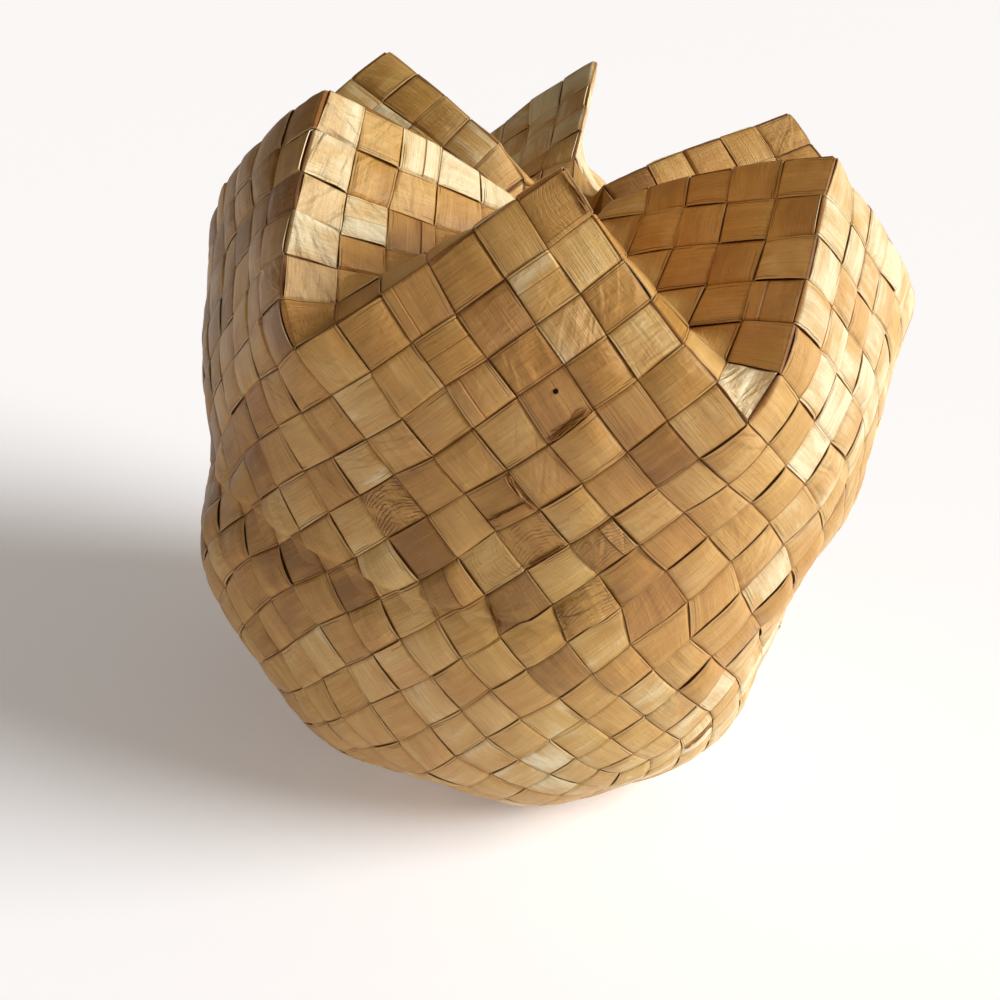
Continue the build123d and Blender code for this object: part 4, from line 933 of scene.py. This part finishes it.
        # parts that run under the neighbours also take a darker tone, painted shade where they show in the gaps
        tone_rows.append((CELL_TONE_AND_LIGHT[ci] if over else -0.6) + 0.5 * part)
        dirt_and_shade_rows.append(np.clip(dirt_and_shade + 0.20 * fold_shade, 0, 1))
        ck = CRACKS.get(ci, 0.0) if over else 0.0
        crack_rows.append(np.full(U.shape, ck) * smooth01(V / 0.1) * smooth01((1 - V) / 0.1))
        wax_rows.append(np.full(U.shape, CELL_WAX[ci]))
        crum_rows.append(np.full(U.shape, CELL_CRUMPLE[ci] if over else 0.0))
    T, B = np.concatenate(top_rows, 0), np.concatenate(bot_rows, 0)
    UV = np.concatenate(uv_rows, 0)
    sh = cad_shift()
    T = (T + sh) * MM
    B = (B + sh) * MM
    nr, nc = T.shape[:2]
    verts = np.concatenate([T.reshape(-1, 3), B.reshape(-1, 3)])
    ti = np.arange(nr * nc).reshape(nr, nc)
    bi = nr * nc + np.arange(nr * 2).reshape(nr, 2)
    f_top = np.stack([ti[:-1, :-1], ti[:-1, 1:], ti[1:, 1:], ti[1:, :-1]], -1).reshape(-1, 4)
    f_bot = np.stack([bi[:-1, 0], bi[1:, 0], bi[1:, 1], bi[:-1, 1]], -1)
    f_l = np.stack([ti[:-1, 0], ti[1:, 0], bi[1:, 0], bi[:-1, 0]], -1)
    f_r = np.stack([ti[:-1, -1], bi[:-1, 1], bi[1:, 1], ti[1:, -1]], -1)
    quads = np.concatenate([f_top, f_bot, f_l, f_r])
    faces = [tuple(int(x) for x in f) for f in quads]
    faces.append(tuple(int(x) for x in (list(ti[0, ::-1]) + [bi[0, 0], bi[0, 1]])))
    faces.append(tuple(int(x) for x in (list(ti[-1, :]) + [bi[-1, 1], bi[-1, 0]])))
    slot = np.zeros(len(faces), int)
    slot[len(f_top) + len(f_bot):] = 1
    n_grid = len(verts)

    def both(rows):
        A = np.concatenate(rows, 0)
        return np.concatenate([A.ravel(), A[:, [0, -1]].ravel()])

    tone, dirt_and_shade = both(tone_rows), both(dirt_and_shade_rows)
    crack, wax, crum = both(crack_rows), both(wax_rows), both(crum_rows)
    uvv = np.concatenate([UV.reshape(-1, 2), UV[:, [0, -1]].reshape(-1, 2)])

    # frayed fibres along some borders, as thin curled slivers
    extra_v, extra_f, extra_uv = [], [], []
    for fi, (fc, fe_, strength, start) in enumerate(FRAYS):
        mine = [k for k, (ci, ent, ext) in enumerate(run) if ci == fc and ent % 2 == 1]
        if not mine:
            continue
        rr = np.random.default_rng(4000 + fi)
        for j in range(int(10 * strength) + 3):
            m = 14
            x = np.linspace(0.04 + 0.2 * rr.random(), 0.96 - 0.25 * rr.random(), m)
            off = start + 0.02 + 0.10 * rr.random() * strength + 0.022 * wave(x * 9, 4100 + fi * 20 + j, 3)
            wd = 0.005 + 0.014 * rr.random()
            lift = 1.10 + 0.40 * rr.random() + 0.18 * wave(x * 7, 4200 + fi * 20 + j, 3)
            st = []
            for o in (off, off + wd):
                if fe_ == 0:
                    st.append((x, o))
                elif fe_ == 1:
                    st.append((1 - o, x))
                elif fe_ == 2:
                    st.append((1 - x, 1 - o))
                else:
                    st.append((o, 1 - x))
            base_i = n_grid + sum(len(q) for q in extra_v)
            rows = []
            for side_i, (s_, t_) in enumerate(st):
                s_ = np.clip(np.broadcast_to(s_, x.shape), 0.0, 1.0)
                t_ = np.clip(np.broadcast_to(t_, x.shape), 0.0, 1.0)
                P, N, _ = patch(fc, s_, t_)
                hh = lift + (0.25 if side_i else 0.0)
                rows.append(P + N * hh[:, None])
                rows.append(P + N * (hh - 0.12)[:, None])
            pts = np.stack(rows, 1)                # m, 4: top0, bottom0, top1, bottom1
            pts = (pts + sh) * MM
            extra_v.append(pts.reshape(-1, 3))
            extra_uv.append(np.tile([[0.3 + 0.4 * rr.random(), 0.5 + j]], (m * 4, 1)))
            q = base_i + np.arange(m * 4).reshape(m, 4)
            for i in range(m - 1):
                a0, b0, c0, d0 = (int(v) for v in q[i])
                a1, b1, c1, d1 = (int(v) for v in q[i + 1])
                extra_f += [(a0, a1, c1, c0), (b0, d0, d1, b1), (a0, b0, b1, a1), (c0, c1, d1, d0)]
            extra_f += [tuple(int(v) for v in q[0][[0, 2, 3, 1]]), tuple(int(v) for v in q[-1][[0, 1, 3, 2]])]
    if extra_v:
        ev = np.concatenate(extra_v)
        ne = len(ev)
        verts = np.concatenate([verts, ev])
        faces += extra_f
        slot = np.concatenate([slot, np.zeros(len(extra_f), int)])
        tone = np.concatenate([tone, np.repeat(r.choice([-2.8, -1.6, 0.6], ne // 56), 56)])
        dirt_and_shade = np.concatenate([dirt_and_shade, np.full(ne, 0.30)])
        crack = np.concatenate([crack, np.zeros(ne)])
        wax = np.concatenate([wax, np.zeros(ne)])
        crum = np.concatenate([crum, np.zeros(ne)])
        uvv = np.concatenate([uvv, np.concatenate(extra_uv)])

    me = bpy.data.meshes.new(name)
    me.from_pydata(verts.tolist(), [], faces)
    me.update()
    loops = np.zeros(len(me.loops), int)
    me.loops.foreach_get('vertex_index', loops)
    uvl = me.uv_layers.new(name='leaf')
    uvl.data.foreach_set('uv', uvv[loops].ravel())
    strip = np.full(len(verts), r.normal(0, 1))
    for nm, val in (('tone', tone), ('strip', strip), ('dirt_and_shade', dirt_and_shade), ('crack', crack), ('wax', wax),
                    ('crumple', crum)):
        at = me.attributes.new(nm, 'FLOAT', 'POINT')
        at.data.foreach_set('value', val)
    me.polygons.foreach_set('use_smooth', [True] * len(me.polygons))
    me.polygons.foreach_set('material_index', slot.tolist())
    return me


def mark_sharp_sides(me, limit=math.radians(42)):
    bm = bmesh.new()
    bm.from_mesh(me)
    for e in bm.edges:
        if len(e.link_faces) == 2 and e.calc_face_angle(0) > limit:
            e.smooth = False
    bmesh.ops.recalc_face_normals(bm, faces=bm.faces)
    bm.to_mesh(me)
    bm.free()


# ---- material ----------------------------------------------------------
def leaf_material(name, cut=False):
    m = bpy.data.materials.new(name)
    m.use_nodes = True
    nt = m.node_tree
    nd, lk = nt.nodes, nt.links
    nd.clear()
    out = nd.new('ShaderNodeOutputMaterial')
    bs = nd.new('ShaderNodeBsdfPrincipled')
    lk.new(bs.outputs[0], out.inputs[0])

    def n(kind, **kw):
        x = nd.new(kind)
        for a, b in kw.items():
            setattr(x, a, b)
        return x

    def math_(op, a, b=None, clamp=False):
        x = n('ShaderNodeMath', operation=op, use_clamp=clamp)
        for i, v in enumerate((a, b)):
            if v is None:
                continue
            if isinstance(v, (int, float)):
                x.inputs[i].default_value = v
            else:
                lk.new(v, x.inputs[i])
        return x.outputs[0]

    def noise(vec, scale, detail, rough=0.55, distort=0.0):
        x = n('ShaderNodeTexNoise', noise_dimensions='3D')
        lk.new(vec, x.inputs['Vector'])
        x.inputs['Scale'].default_value = scale
        x.inputs['Detail'].default_value = detail
        x.inputs['Roughness'].default_value = rough
        x.inputs['Distortion'].default_value = distort
        return x.outputs['Fac']

    def attr(nm):
        return n('ShaderNodeAttribute', attribute_name=nm).outputs['Fac']

    def span(v, a, b, c, d, kind='SMOOTHSTEP'):
        x = n('ShaderNodeMapRange', interpolation_type=kind)
        lk.new(v, x.inputs['Value'])
        for nm, val in (('From Min', a), ('From Max', b), ('To Min', c), ('To Max', d)):
            x.inputs[nm].default_value = val
        return x.outputs[0]

    def grey(v):
        x = n('ShaderNodeCombineColor')
        for i in range(3):
            lk.new(v, x.inputs[i])
        return x.outputs[0]

    def mix(kind, fac, a, b):
        x = n('ShaderNodeMix', data_type='RGBA', blend_type=kind)
        for i, v in ((0, fac), (6, a), (7, b)):
            if isinstance(v, (int, float)):
                x.inputs[i].default_value = v
            elif isinstance(v, tuple):
                x.inputs[i].default_value = v
            else:
                lk.new(v, x.inputs[i])
        return x.outputs[2]

    uv = n('ShaderNodeUVMap', uv_map='leaf').outputs[0]
    tone, strip, dirt_and_shade, crack, wax, crumple = (attr(a) for a in ('tone', 'strip', 'dirt_and_shade', 'crack', 'wax', 'crumple'))
    obj = n('ShaderNodeTexCoord').outputs['Object']
    sep = n('ShaderNodeSeparateXYZ')
    lk.new(uv, sep.inputs[0])
    comb = n('ShaderNodeCombineXYZ')
    lk.new(sep.outputs[0], comb.inputs[0])
    lk.new(sep.outputs[1], comb.inputs[1])
    lk.new(math_('MULTIPLY', strip, 7.3), comb.inputs[2])
    base = comb.outputs[0]

    def stretched(sx, sy, sz=1.0):
        mp = n('ShaderNodeMapping')
        lk.new(base, mp.inputs[0])
        mp.inputs['Scale'].default_value = (sx, sy, sz)
        return mp.outputs[0]

    fibre = noise(stretched(30, 0.8), 1.0, 6.0, 0.70)
    fibre2 = noise(stretched(85, 2.0), 1.0, 3.0, 0.6)
    band = noise(stretched(5.5, 0.35), 1.0, 3.0, 0.5)
    blot = noise(stretched(1.6, 0.7), 1.0, 4.0, 0.55)
    cross = noise(stretched(3.0, 16.0), 1.0, 3.0, 0.6)
    speck = noise(stretched(16.0, 12.0), 1.0, 2.0, 0.5)

    # tone of the leaf: strip to strip, cell to cell, along and across; the cell tones also carry painted light and
    # shade by side of the basket
    t = math_('MULTIPLY', tone, 0.135)
    t = math_('ADD', t, math_('MULTIPLY', strip, 0.060))
    t = math_('ADD', t, 0.47)
    t = math_('ADD', t, math_('MULTIPLY', math_('SUBTRACT', blot, 0.5), 0.85))
    t = math_('ADD', t, math_('MULTIPLY', math_('SUBTRACT', band, 0.5), 0.35), clamp=True)
    ramp = n('ShaderNodeValToRGB')
    lk.new(t, ramp.inputs[0])
    cr = ramp.color_ramp
    cols = [(0.00, (0.300, 0.126, 0.025)), (0.20, (0.430, 0.196, 0.043)), (0.40, (0.525, 0.258, 0.063)),
            (0.58, (0.585, 0.312, 0.090)), (0.76, (0.650, 0.390, 0.140)), (1.00, (0.840, 0.700, 0.455))]
    cr.elements[0].position = cols[0][0]
    cr.elements[0].color = (*cols[0][1], 1)
    cr.elements[1].position = cols[-1][0]
    cr.elements[1].color = (*cols[-1][1], 1)
    for ps, cc in cols[1:-1]:
        e = cr.elements.new(ps)
        e.color = (*cc, 1)

    # fibres: fine darker and lighter lines along the strip
    fl = math_('ADD', math_('MULTIPLY', math_('SUBTRACT', fibre, 0.5), 0.60),
               math_('MULTIPLY', math_('SUBTRACT', fibre2, 0.5), 0.40))
    fl = math_('ADD', fl, 1.0)
    cmb = n('ShaderNodeCombineColor')
    lk.new(fl, cmb.inputs[0])
    lk.new(math_('POWER', fl, 1.10), cmb.inputs[1])
    lk.new(math_('POWER', fl, 1.35), cmb.inputs[2])
    col = mix('MULTIPLY', 1.0, ramp.outputs[0], cmb.outputs[0])

    # cracked skin: dark crooked lines across the fibres
    sway = noise(stretched(2.6, 2.0), 1.0, 3.0, 0.6)
    arc = math_('POWER', math_('ABSOLUTE', math_('SUBTRACT', sep.outputs[0], 0.5)), 2.0)
    row = math_('ADD', math_('MULTIPLY', sep.outputs[1], 12.0), math_('MULTIPLY', sway, 2.6))
    row = math_('ADD', row, math_('MULTIPLY', arc, 9.0))
    ridge = math_('ABSOLUTE', math_('SUBTRACT', math_('FRACT', row), 0.5))
    patchy = span(noise(stretched(2.2, 2.6, 3.0), 1.0, 2.0), 0.42, 0.56, 0.0, 1.0)
    cracked = math_('MULTIPLY', math_('MULTIPLY', span(ridge, 0.02, 0.16, 1.0, 0.0), patchy), crack)
    col = mix('MIX', math_('MULTIPLY', cracked, 0.75, clamp=True), col, (0.10, 0.035, 0.012, 1))

    # fine darker lines beside the sides: painted shade in the creases where the leaf is folded under itself
    side_d = math_('MINIMUM', sep.outputs[0], math_('SUBTRACT', 1.0, sep.outputs[0]))
    wob = math_('MULTIPLY', math_('SUBTRACT', noise(stretched(0.3, 2.6), 1.0, 3.0), 0.5), 0.030)
    sd = math_('ADD', side_d, wob)
    on1 = span(noise(stretched(1.0, 0.8, 1.7), 1.0, 1.0), 0.47, 0.56, 0.0, 1.0)
    on2 = span(noise(stretched(1.3, 0.9, 2.9), 1.0, 1.0), 0.52, 0.60, 0.0, 1.0)
    ln1 = math_('MULTIPLY', span(math_('ABSOLUTE', math_('SUBTRACT', sd, 0.055)), 0.003, 0.013, 1.0, 0.0), on1)
    ln2 = math_('MULTIPLY', span(math_('ABSOLUTE', math_('SUBTRACT', sd, 0.100)), 0.002, 0.011, 1.0, 0.0), on2)
    fold_line_shade = math_('ADD', math_('MULTIPLY', ln1, 0.62), math_('MULTIPLY', ln2, 0.45), clamp=True)
    # painted highlight: pale, crumpled leaves are mixed towards a whitish cream as if glossy; the same mask lowers
    # roughness and fades the fold lines
    painted_sheen = math_('MULTIPLY', span(crumple, 0.27, 0.45, 0.0, 1.0), span(tone, 0.4, 1.6, 0.0, 1.0))
    fold_line_shade = math_('MULTIPLY', fold_line_shade, math_('SUBTRACT', 1.0, math_('MULTIPLY', painted_sheen, 0.6)))
    col = mix('MIX', math_('MULTIPLY', painted_sheen, 0.22), col, (0.80, 0.66, 0.48, 1))
    col = mix('MIX', fold_line_shade, col, (0.13, 0.050, 0.014, 1))

    # small brown flecks
    fleck = math_('MULTIPLY', span(speck, 0.74, 0.80, 0.0, 1.0), 0.35)
    col = mix('MIX', fleck, col, (0.20, 0.085, 0.03, 1))

    # painted shade, with some grime, where a strip dives and in the gaps, and a thin lighter edge along its sides:
    # pale leaf edges with a painted highlight
    ux = sep.outputs[0]
    d = math_('MINIMUM', ux, math_('SUBTRACT', 1.0, ux))
    # lighter towards the sides: pale leaf edges and a painted highlight
    pale_edge_and_highlight = span(d, 0.008, 0.030, 1.16, 1.0)
    shade_and_dirt_dim = math_('SUBTRACT', 1.0, math_('MULTIPLY', dirt_and_shade, 0.46), clamp=True)
    both_ = math_('MULTIPLY', pale_edge_and_highlight, shade_and_dirt_dim)
    cmb2 = n('ShaderNodeCombineColor')
    lk.new(both_, cmb2.inputs[0])
    lk.new(math_('POWER', both_, 1.55), cmb2.inputs[1])
    lk.new(math_('POWER', both_, 2.1), cmb2.inputs[2])
    col = mix('MULTIPLY', 1.0, col, cmb2.outputs[0])
    # odd greenish or orange patches
    hue = n('ShaderNodeHueSaturation')
    lk.new(col, hue.inputs['Color'])
    hv = noise(obj, 14.0, 2.0)
    lk.new(math_('ADD', math_('MULTIPLY', math_('SUBTRACT', hv, 0.5), 0.03), 0.503), hue.inputs['Hue'])
    hue.inputs['Saturation'].default_value = 1.0
    col = hue.outputs[0]
    if cut:
        col = mix('MIX', 0.70, col, (0.80, 0.64, 0.40, 1))
    lk.new(col, bs.inputs['Base Color'])

    ro = math_('ADD', span(fibre, 0.3, 0.7, 0.30, 0.50, 'LINEAR'), math_('MULTIPLY', wax, 0.14))
    ro = math_('SUBTRACT', ro, math_('MULTIPLY', painted_sheen, 0.10))
    ro = math_('ADD', ro, math_('MULTIPLY', dirt_and_shade, 0.35), clamp=True)
    lk.new(ro, bs.inputs['Roughness'])
    bs.inputs['Specular IOR Level'].default_value = 0.42
    bs.inputs['Coat Weight'].default_value = 0.10
    bs.inputs['Coat Roughness'].default_value = 0.28

    # relief: fibres, dents, then faint cross wrinkles
    hsum = math_('ADD', math_('MULTIPLY', fibre, 0.75), math_('MULTIPLY', fibre2, 0.30))
    hsum = math_('ADD', hsum, math_('MULTIPLY', math_('POWER', cross, 3.0), 0.7))
    hsum = math_('ADD', hsum, math_('MULTIPLY', band, 1.0))
    hsum = math_('SUBTRACT', hsum, math_('MULTIPLY', cracked, 1.6))
    hsum = math_('SUBTRACT', hsum, math_('MULTIPLY', fold_line_shade, 1.2))
    slant = n('ShaderNodeVectorRotate', rotation_type='Z_AXIS')
    lk.new(base, slant.inputs['Vector'])
    lk.new(math_('MULTIPLY', math_('SUBTRACT', wax, 0.5), 2.6), slant.inputs['Angle'])
    mp_ = n('ShaderNodeMapping')
    lk.new(slant.outputs[0], mp_.inputs[0])
    mp_.inputs['Scale'].default_value = (1.0, 3.4, 2.0)
    wr1 = noise(mp_.outputs[0], 1.0, 1.6, 0.5, 0.7)
    wr2 = noise(stretched(6.0, 8.0, 2.0), 1.0, 2.0, 0.55, 0.5)
    crease = math_('ADD', math_('MULTIPLY', wr1, 7.5), math_('MULTIPLY', wr2, 1.0))
    hsum = math_('ADD', hsum, math_('MULTIPLY', crease, math_('MULTIPLY', crumple, 1.5)))
    bump = n('ShaderNodeBump')
    bump.inputs['Strength'].default_value = 0.90
    bump.inputs['Distance'].default_value = 0.0006
    lk.new(hsum, bump.inputs['Height'])
    lk.new(bump.outputs[0], bs.inputs['Normal'])
    return m


LEAF_MAT = leaf_material('leaf')
CUT_MAT = leaf_material('leaf_cut_edge', True)

names = sorted(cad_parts.keys())
by_number = {}
for nme in names:
    if nme.startswith('leaf_strip_'):
        by_number[int(nme.split('_')[2])] = nme
for number, run in enumerate(RUNS, 1):
    node = by_number[number]
    me = ribbon_mesh('ribbon_%02d' % number, run, number)
    mark_sharp_sides(me)
    me.materials.append(LEAF_MAT)
    me.materials.append(CUT_MAT)
    ob = bpy.data.objects.new('leaf_ribbon_%02d' % number, me)
    bpy.context.scene.collection.objects.link(ob)
    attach(ob, "root")
    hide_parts(node)

# ---- a small pin hole on the front: a near-black disc laid over the leaf, painted shade for the hollow seen through it ---
def pin_hole_shade(ci, s, t, radius, name, node):
    s_, t_ = np.array([s]), np.array([t])
    P, N, _ = patch(ci, s_, t_)
    P, N = P[0] + N[0] * (H0 + LEAF / 2 + CELL_BOW[ci] + 0.20), N[0]
    a = unit(np.cross(N, [0.3, 0.2, 0.9]))
    b = np.cross(N, a)
    k = 18
    ang = np.linspace(0, 2 * np.pi, k, endpoint=False)
    rings = [(1.15, -0.25), (1.05, 0.05), (0.90, 0.08), (0.60, 0.07), (0.0, 0.05)]
    vs = []
    for rr, hh in rings[:-1]:
        vs += [(P + (a * math.cos(x) + b * math.sin(x)) * rr * radius + N * hh) for x in ang]
    vs.append(P + N * rings[-1][1])
    fs = []
    for q in range(len(rings) - 2):
        for i in range(k):
            j = (i + 1) % k
            fs.append((q * k + i, (q + 1) * k + i, (q + 1) * k + j, q * k + j))
    for i in range(k):
        fs.append(((len(rings) - 2) * k + i, len(vs) - 1, (len(rings) - 2) * k + (i + 1) % k))
    me = bpy.data.meshes.new(name)
    me.from_pydata([tuple((v + cad_shift()) * MM) for v in vs], [], fs)
    me.polygons.foreach_set('use_smooth', [True] * len(me.polygons))
    m = bpy.data.materials.new('hole_shadow')
    m.use_nodes = True
    nt = m.node_tree
    bsd = nt.nodes['Principled BSDF']
    nz = nt.nodes.new('ShaderNodeTexNoise')
    nz.inputs['Scale'].default_value = 900.0
    rp = nt.nodes.new('ShaderNodeValToRGB')
    rp.color_ramp.elements[0].color = (0.006, 0.003, 0.002, 1)
    rp.color_ramp.elements[1].color = (0.030, 0.014, 0.007, 1)
    nt.links.new(nz.outputs['Fac'], rp.inputs[0])
    nt.links.new(rp.outputs[0], bsd.inputs['Base Color'])
    bsd.inputs['Roughness'].default_value = 1.0
    bsd.inputs['Specular IOR Level'].default_value = 0.1
    me.materials.append(m)
    ob = bpy.data.objects.new(name, me)
    bpy.context.scene.collection.objects.link(ob)
    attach(ob, "root")
    return ob


pin_hole_shade(507, 0.30, 0.63, 0.72, 'pin_hole_shade', None)

# ---- stage -------------------------------------------------------------
def floor_material():
    m = bpy.data.materials.new('floor')
    m.use_nodes = True
    b = m.node_tree.nodes['Principled BSDF']
    b.inputs['Base Color'].default_value = (0.84, 0.835, 0.90, 1)
    b.inputs['Emission Color'].default_value = (1.0, 0.98, 0.97, 1)
    b.inputs['Emission Strength'].default_value = 0.21
    b.inputs['Roughness'].default_value = 0.9
    return m


fl_me = bpy.data.meshes.new('floor')
S = 6.0
fl_me.from_pydata([(-S, -S, 0), (S, -S, 0), (S, S, 0), (-S, S, 0)], [], [(0, 1, 2, 3)])
fl_me.materials.append(floor_material())
fl_ob = bpy.data.objects.new('floor', fl_me)
bpy.context.scene.collection.objects.link(fl_ob)

world = bpy.data.worlds.new('studio')
bpy.context.scene.world = world
world.use_nodes = True
wn = world.node_tree
bg = wn.nodes['Background']
tcw = wn.nodes.new('ShaderNodeTexCoord')
sxw = wn.nodes.new('ShaderNodeSeparateXYZ')
mrw = wn.nodes.new('ShaderNodeMapRange')
wn.links.new(tcw.outputs['Generated'], sxw.inputs[0])
wn.links.new(sxw.outputs[0], mrw.inputs['Value'])
for nm_, val_ in (('From Min', -0.9), ('From Max', 0.6), ('To Min', 0.03), ('To Max', 0.37)):
    mrw.inputs[nm_].default_value = val_
wn.links.new(mrw.outputs[0], bg.inputs[1])
# a plain pale backdrop behind the floor; it gives no light of its own
back = wn.nodes.new('ShaderNodeBackground')
back.inputs[0].default_value = (0.95, 0.95, 0.95, 1)
back.inputs[1].default_value = 0.95
seen = wn.nodes.new('ShaderNodeLightPath')
pick_ = wn.nodes.new('ShaderNodeMixShader')
wn.links.new(seen.outputs['Is Camera Ray'], pick_.inputs[0])
wn.links.new(bg.outputs[0], pick_.inputs[1])
wn.links.new(back.outputs[0], pick_.inputs[2])
wn.links.new(pick_.outputs[0], wn.nodes['World Output'].inputs['Surface'])
bg.inputs[0].default_value = (1.0, 0.87, 0.69, 1)


def sun(name, az, el, strength, spread, colour=(1, 1, 1)):
    L = bpy.data.lights.new(name, 'SUN')
    L.energy = strength
    L.angle = math.radians(spread)
    L.color = colour
    o = bpy.data.objects.new(name, L)
    a, e = math.radians(az), math.radians(el)
    d = Vector((math.cos(a) * math.cos(e), math.sin(a) * math.cos(e), math.sin(e)))
    o.location = d * 2.0
    o.rotation_mode = 'QUATERNION'
    o.rotation_quaternion = d.to_track_quat('Z', 'Y')
    bpy.context.scene.collection.objects.link(o)
    return o


sun('key', -2, 31, 4.2, 36, (0.985, 1.0, 0.95))

# a weak glow between the points, like light that comes back off the facing leaves
gl = bpy.data.lights.new('glow', 'AREA')
gl.energy = 0.014
gl.size = 0.05
gl.color = (1.0, 0.70, 0.40)
gl.spread = math.radians(95)
go = bpy.data.objects.new('glow', gl)
go.location = (-0.040, -0.060, 0.300)
go.rotation_mode = 'QUATERNION'
go.rotation_quaternion = (Vector((-0.040, -0.060, 0.300)) - Vector((0.066, -0.060, 0.215))).to_track_quat('Z', 'Y')
go.visible_camera = False
bpy.context.scene.collection.objects.link(go)

# ---- camera ------------------------------------------------------------
PITCH, YAW, ROLL = math.radians(25.2429), math.radians(-2.787), math.radians(8.0624)
CAM_T = np.array([1.13601538, -4.80302544, 32.05357524])       # in strip widths
FPX = 1433.04


def camera_matrix():
    Rz = np.array([[math.cos(YAW), -math.sin(YAW), 0], [math.sin(YAW), math.cos(YAW), 0], [0, 0, 1]])
    Bm = np.array([[1, 0, 0], [0, 0, -1], [0, 1, 0]], float)
    Rx = np.array([[1, 0, 0], [0, math.cos(PITCH), -math.sin(PITCH)], [0, math.sin(PITCH), math.cos(PITCH)]])
    Rr = np.array([[math.cos(ROLL), -math.sin(ROLL), 0], [math.sin(ROLL), math.cos(ROLL), 0], [0, 0, 1]])
    R = Rr @ Rx @ Bm @ Rz
    centre = -R.T @ CAM_T * STRIP_W
    return R, (centre + cad_shift()) * MM


R, centre = camera_matrix()
cam_d = bpy.data.cameras.new('camera')
cam_d.sensor_width = 36.0
cam_d.lens = FPX / 1000.0 * 36.0
cam_d.clip_start, cam_d.clip_end = 0.01, 50.0
cam = bpy.data.objects.new('camera', cam_d)
rot = Matrix(((R[0][0], -R[1][0], -R[2][0]), (R[0][1], -R[1][1], -R[2][1]), (R[0][2], -R[1][2], -R[2][2])))
cam.matrix_world = Matrix.Translation(Vector(centre)) @ rot.to_4x4()
bpy.context.scene.collection.objects.link(cam)
bpy.context.scene.camera = cam
bpy.context.scene.view_settings.view_transform = 'Standard'
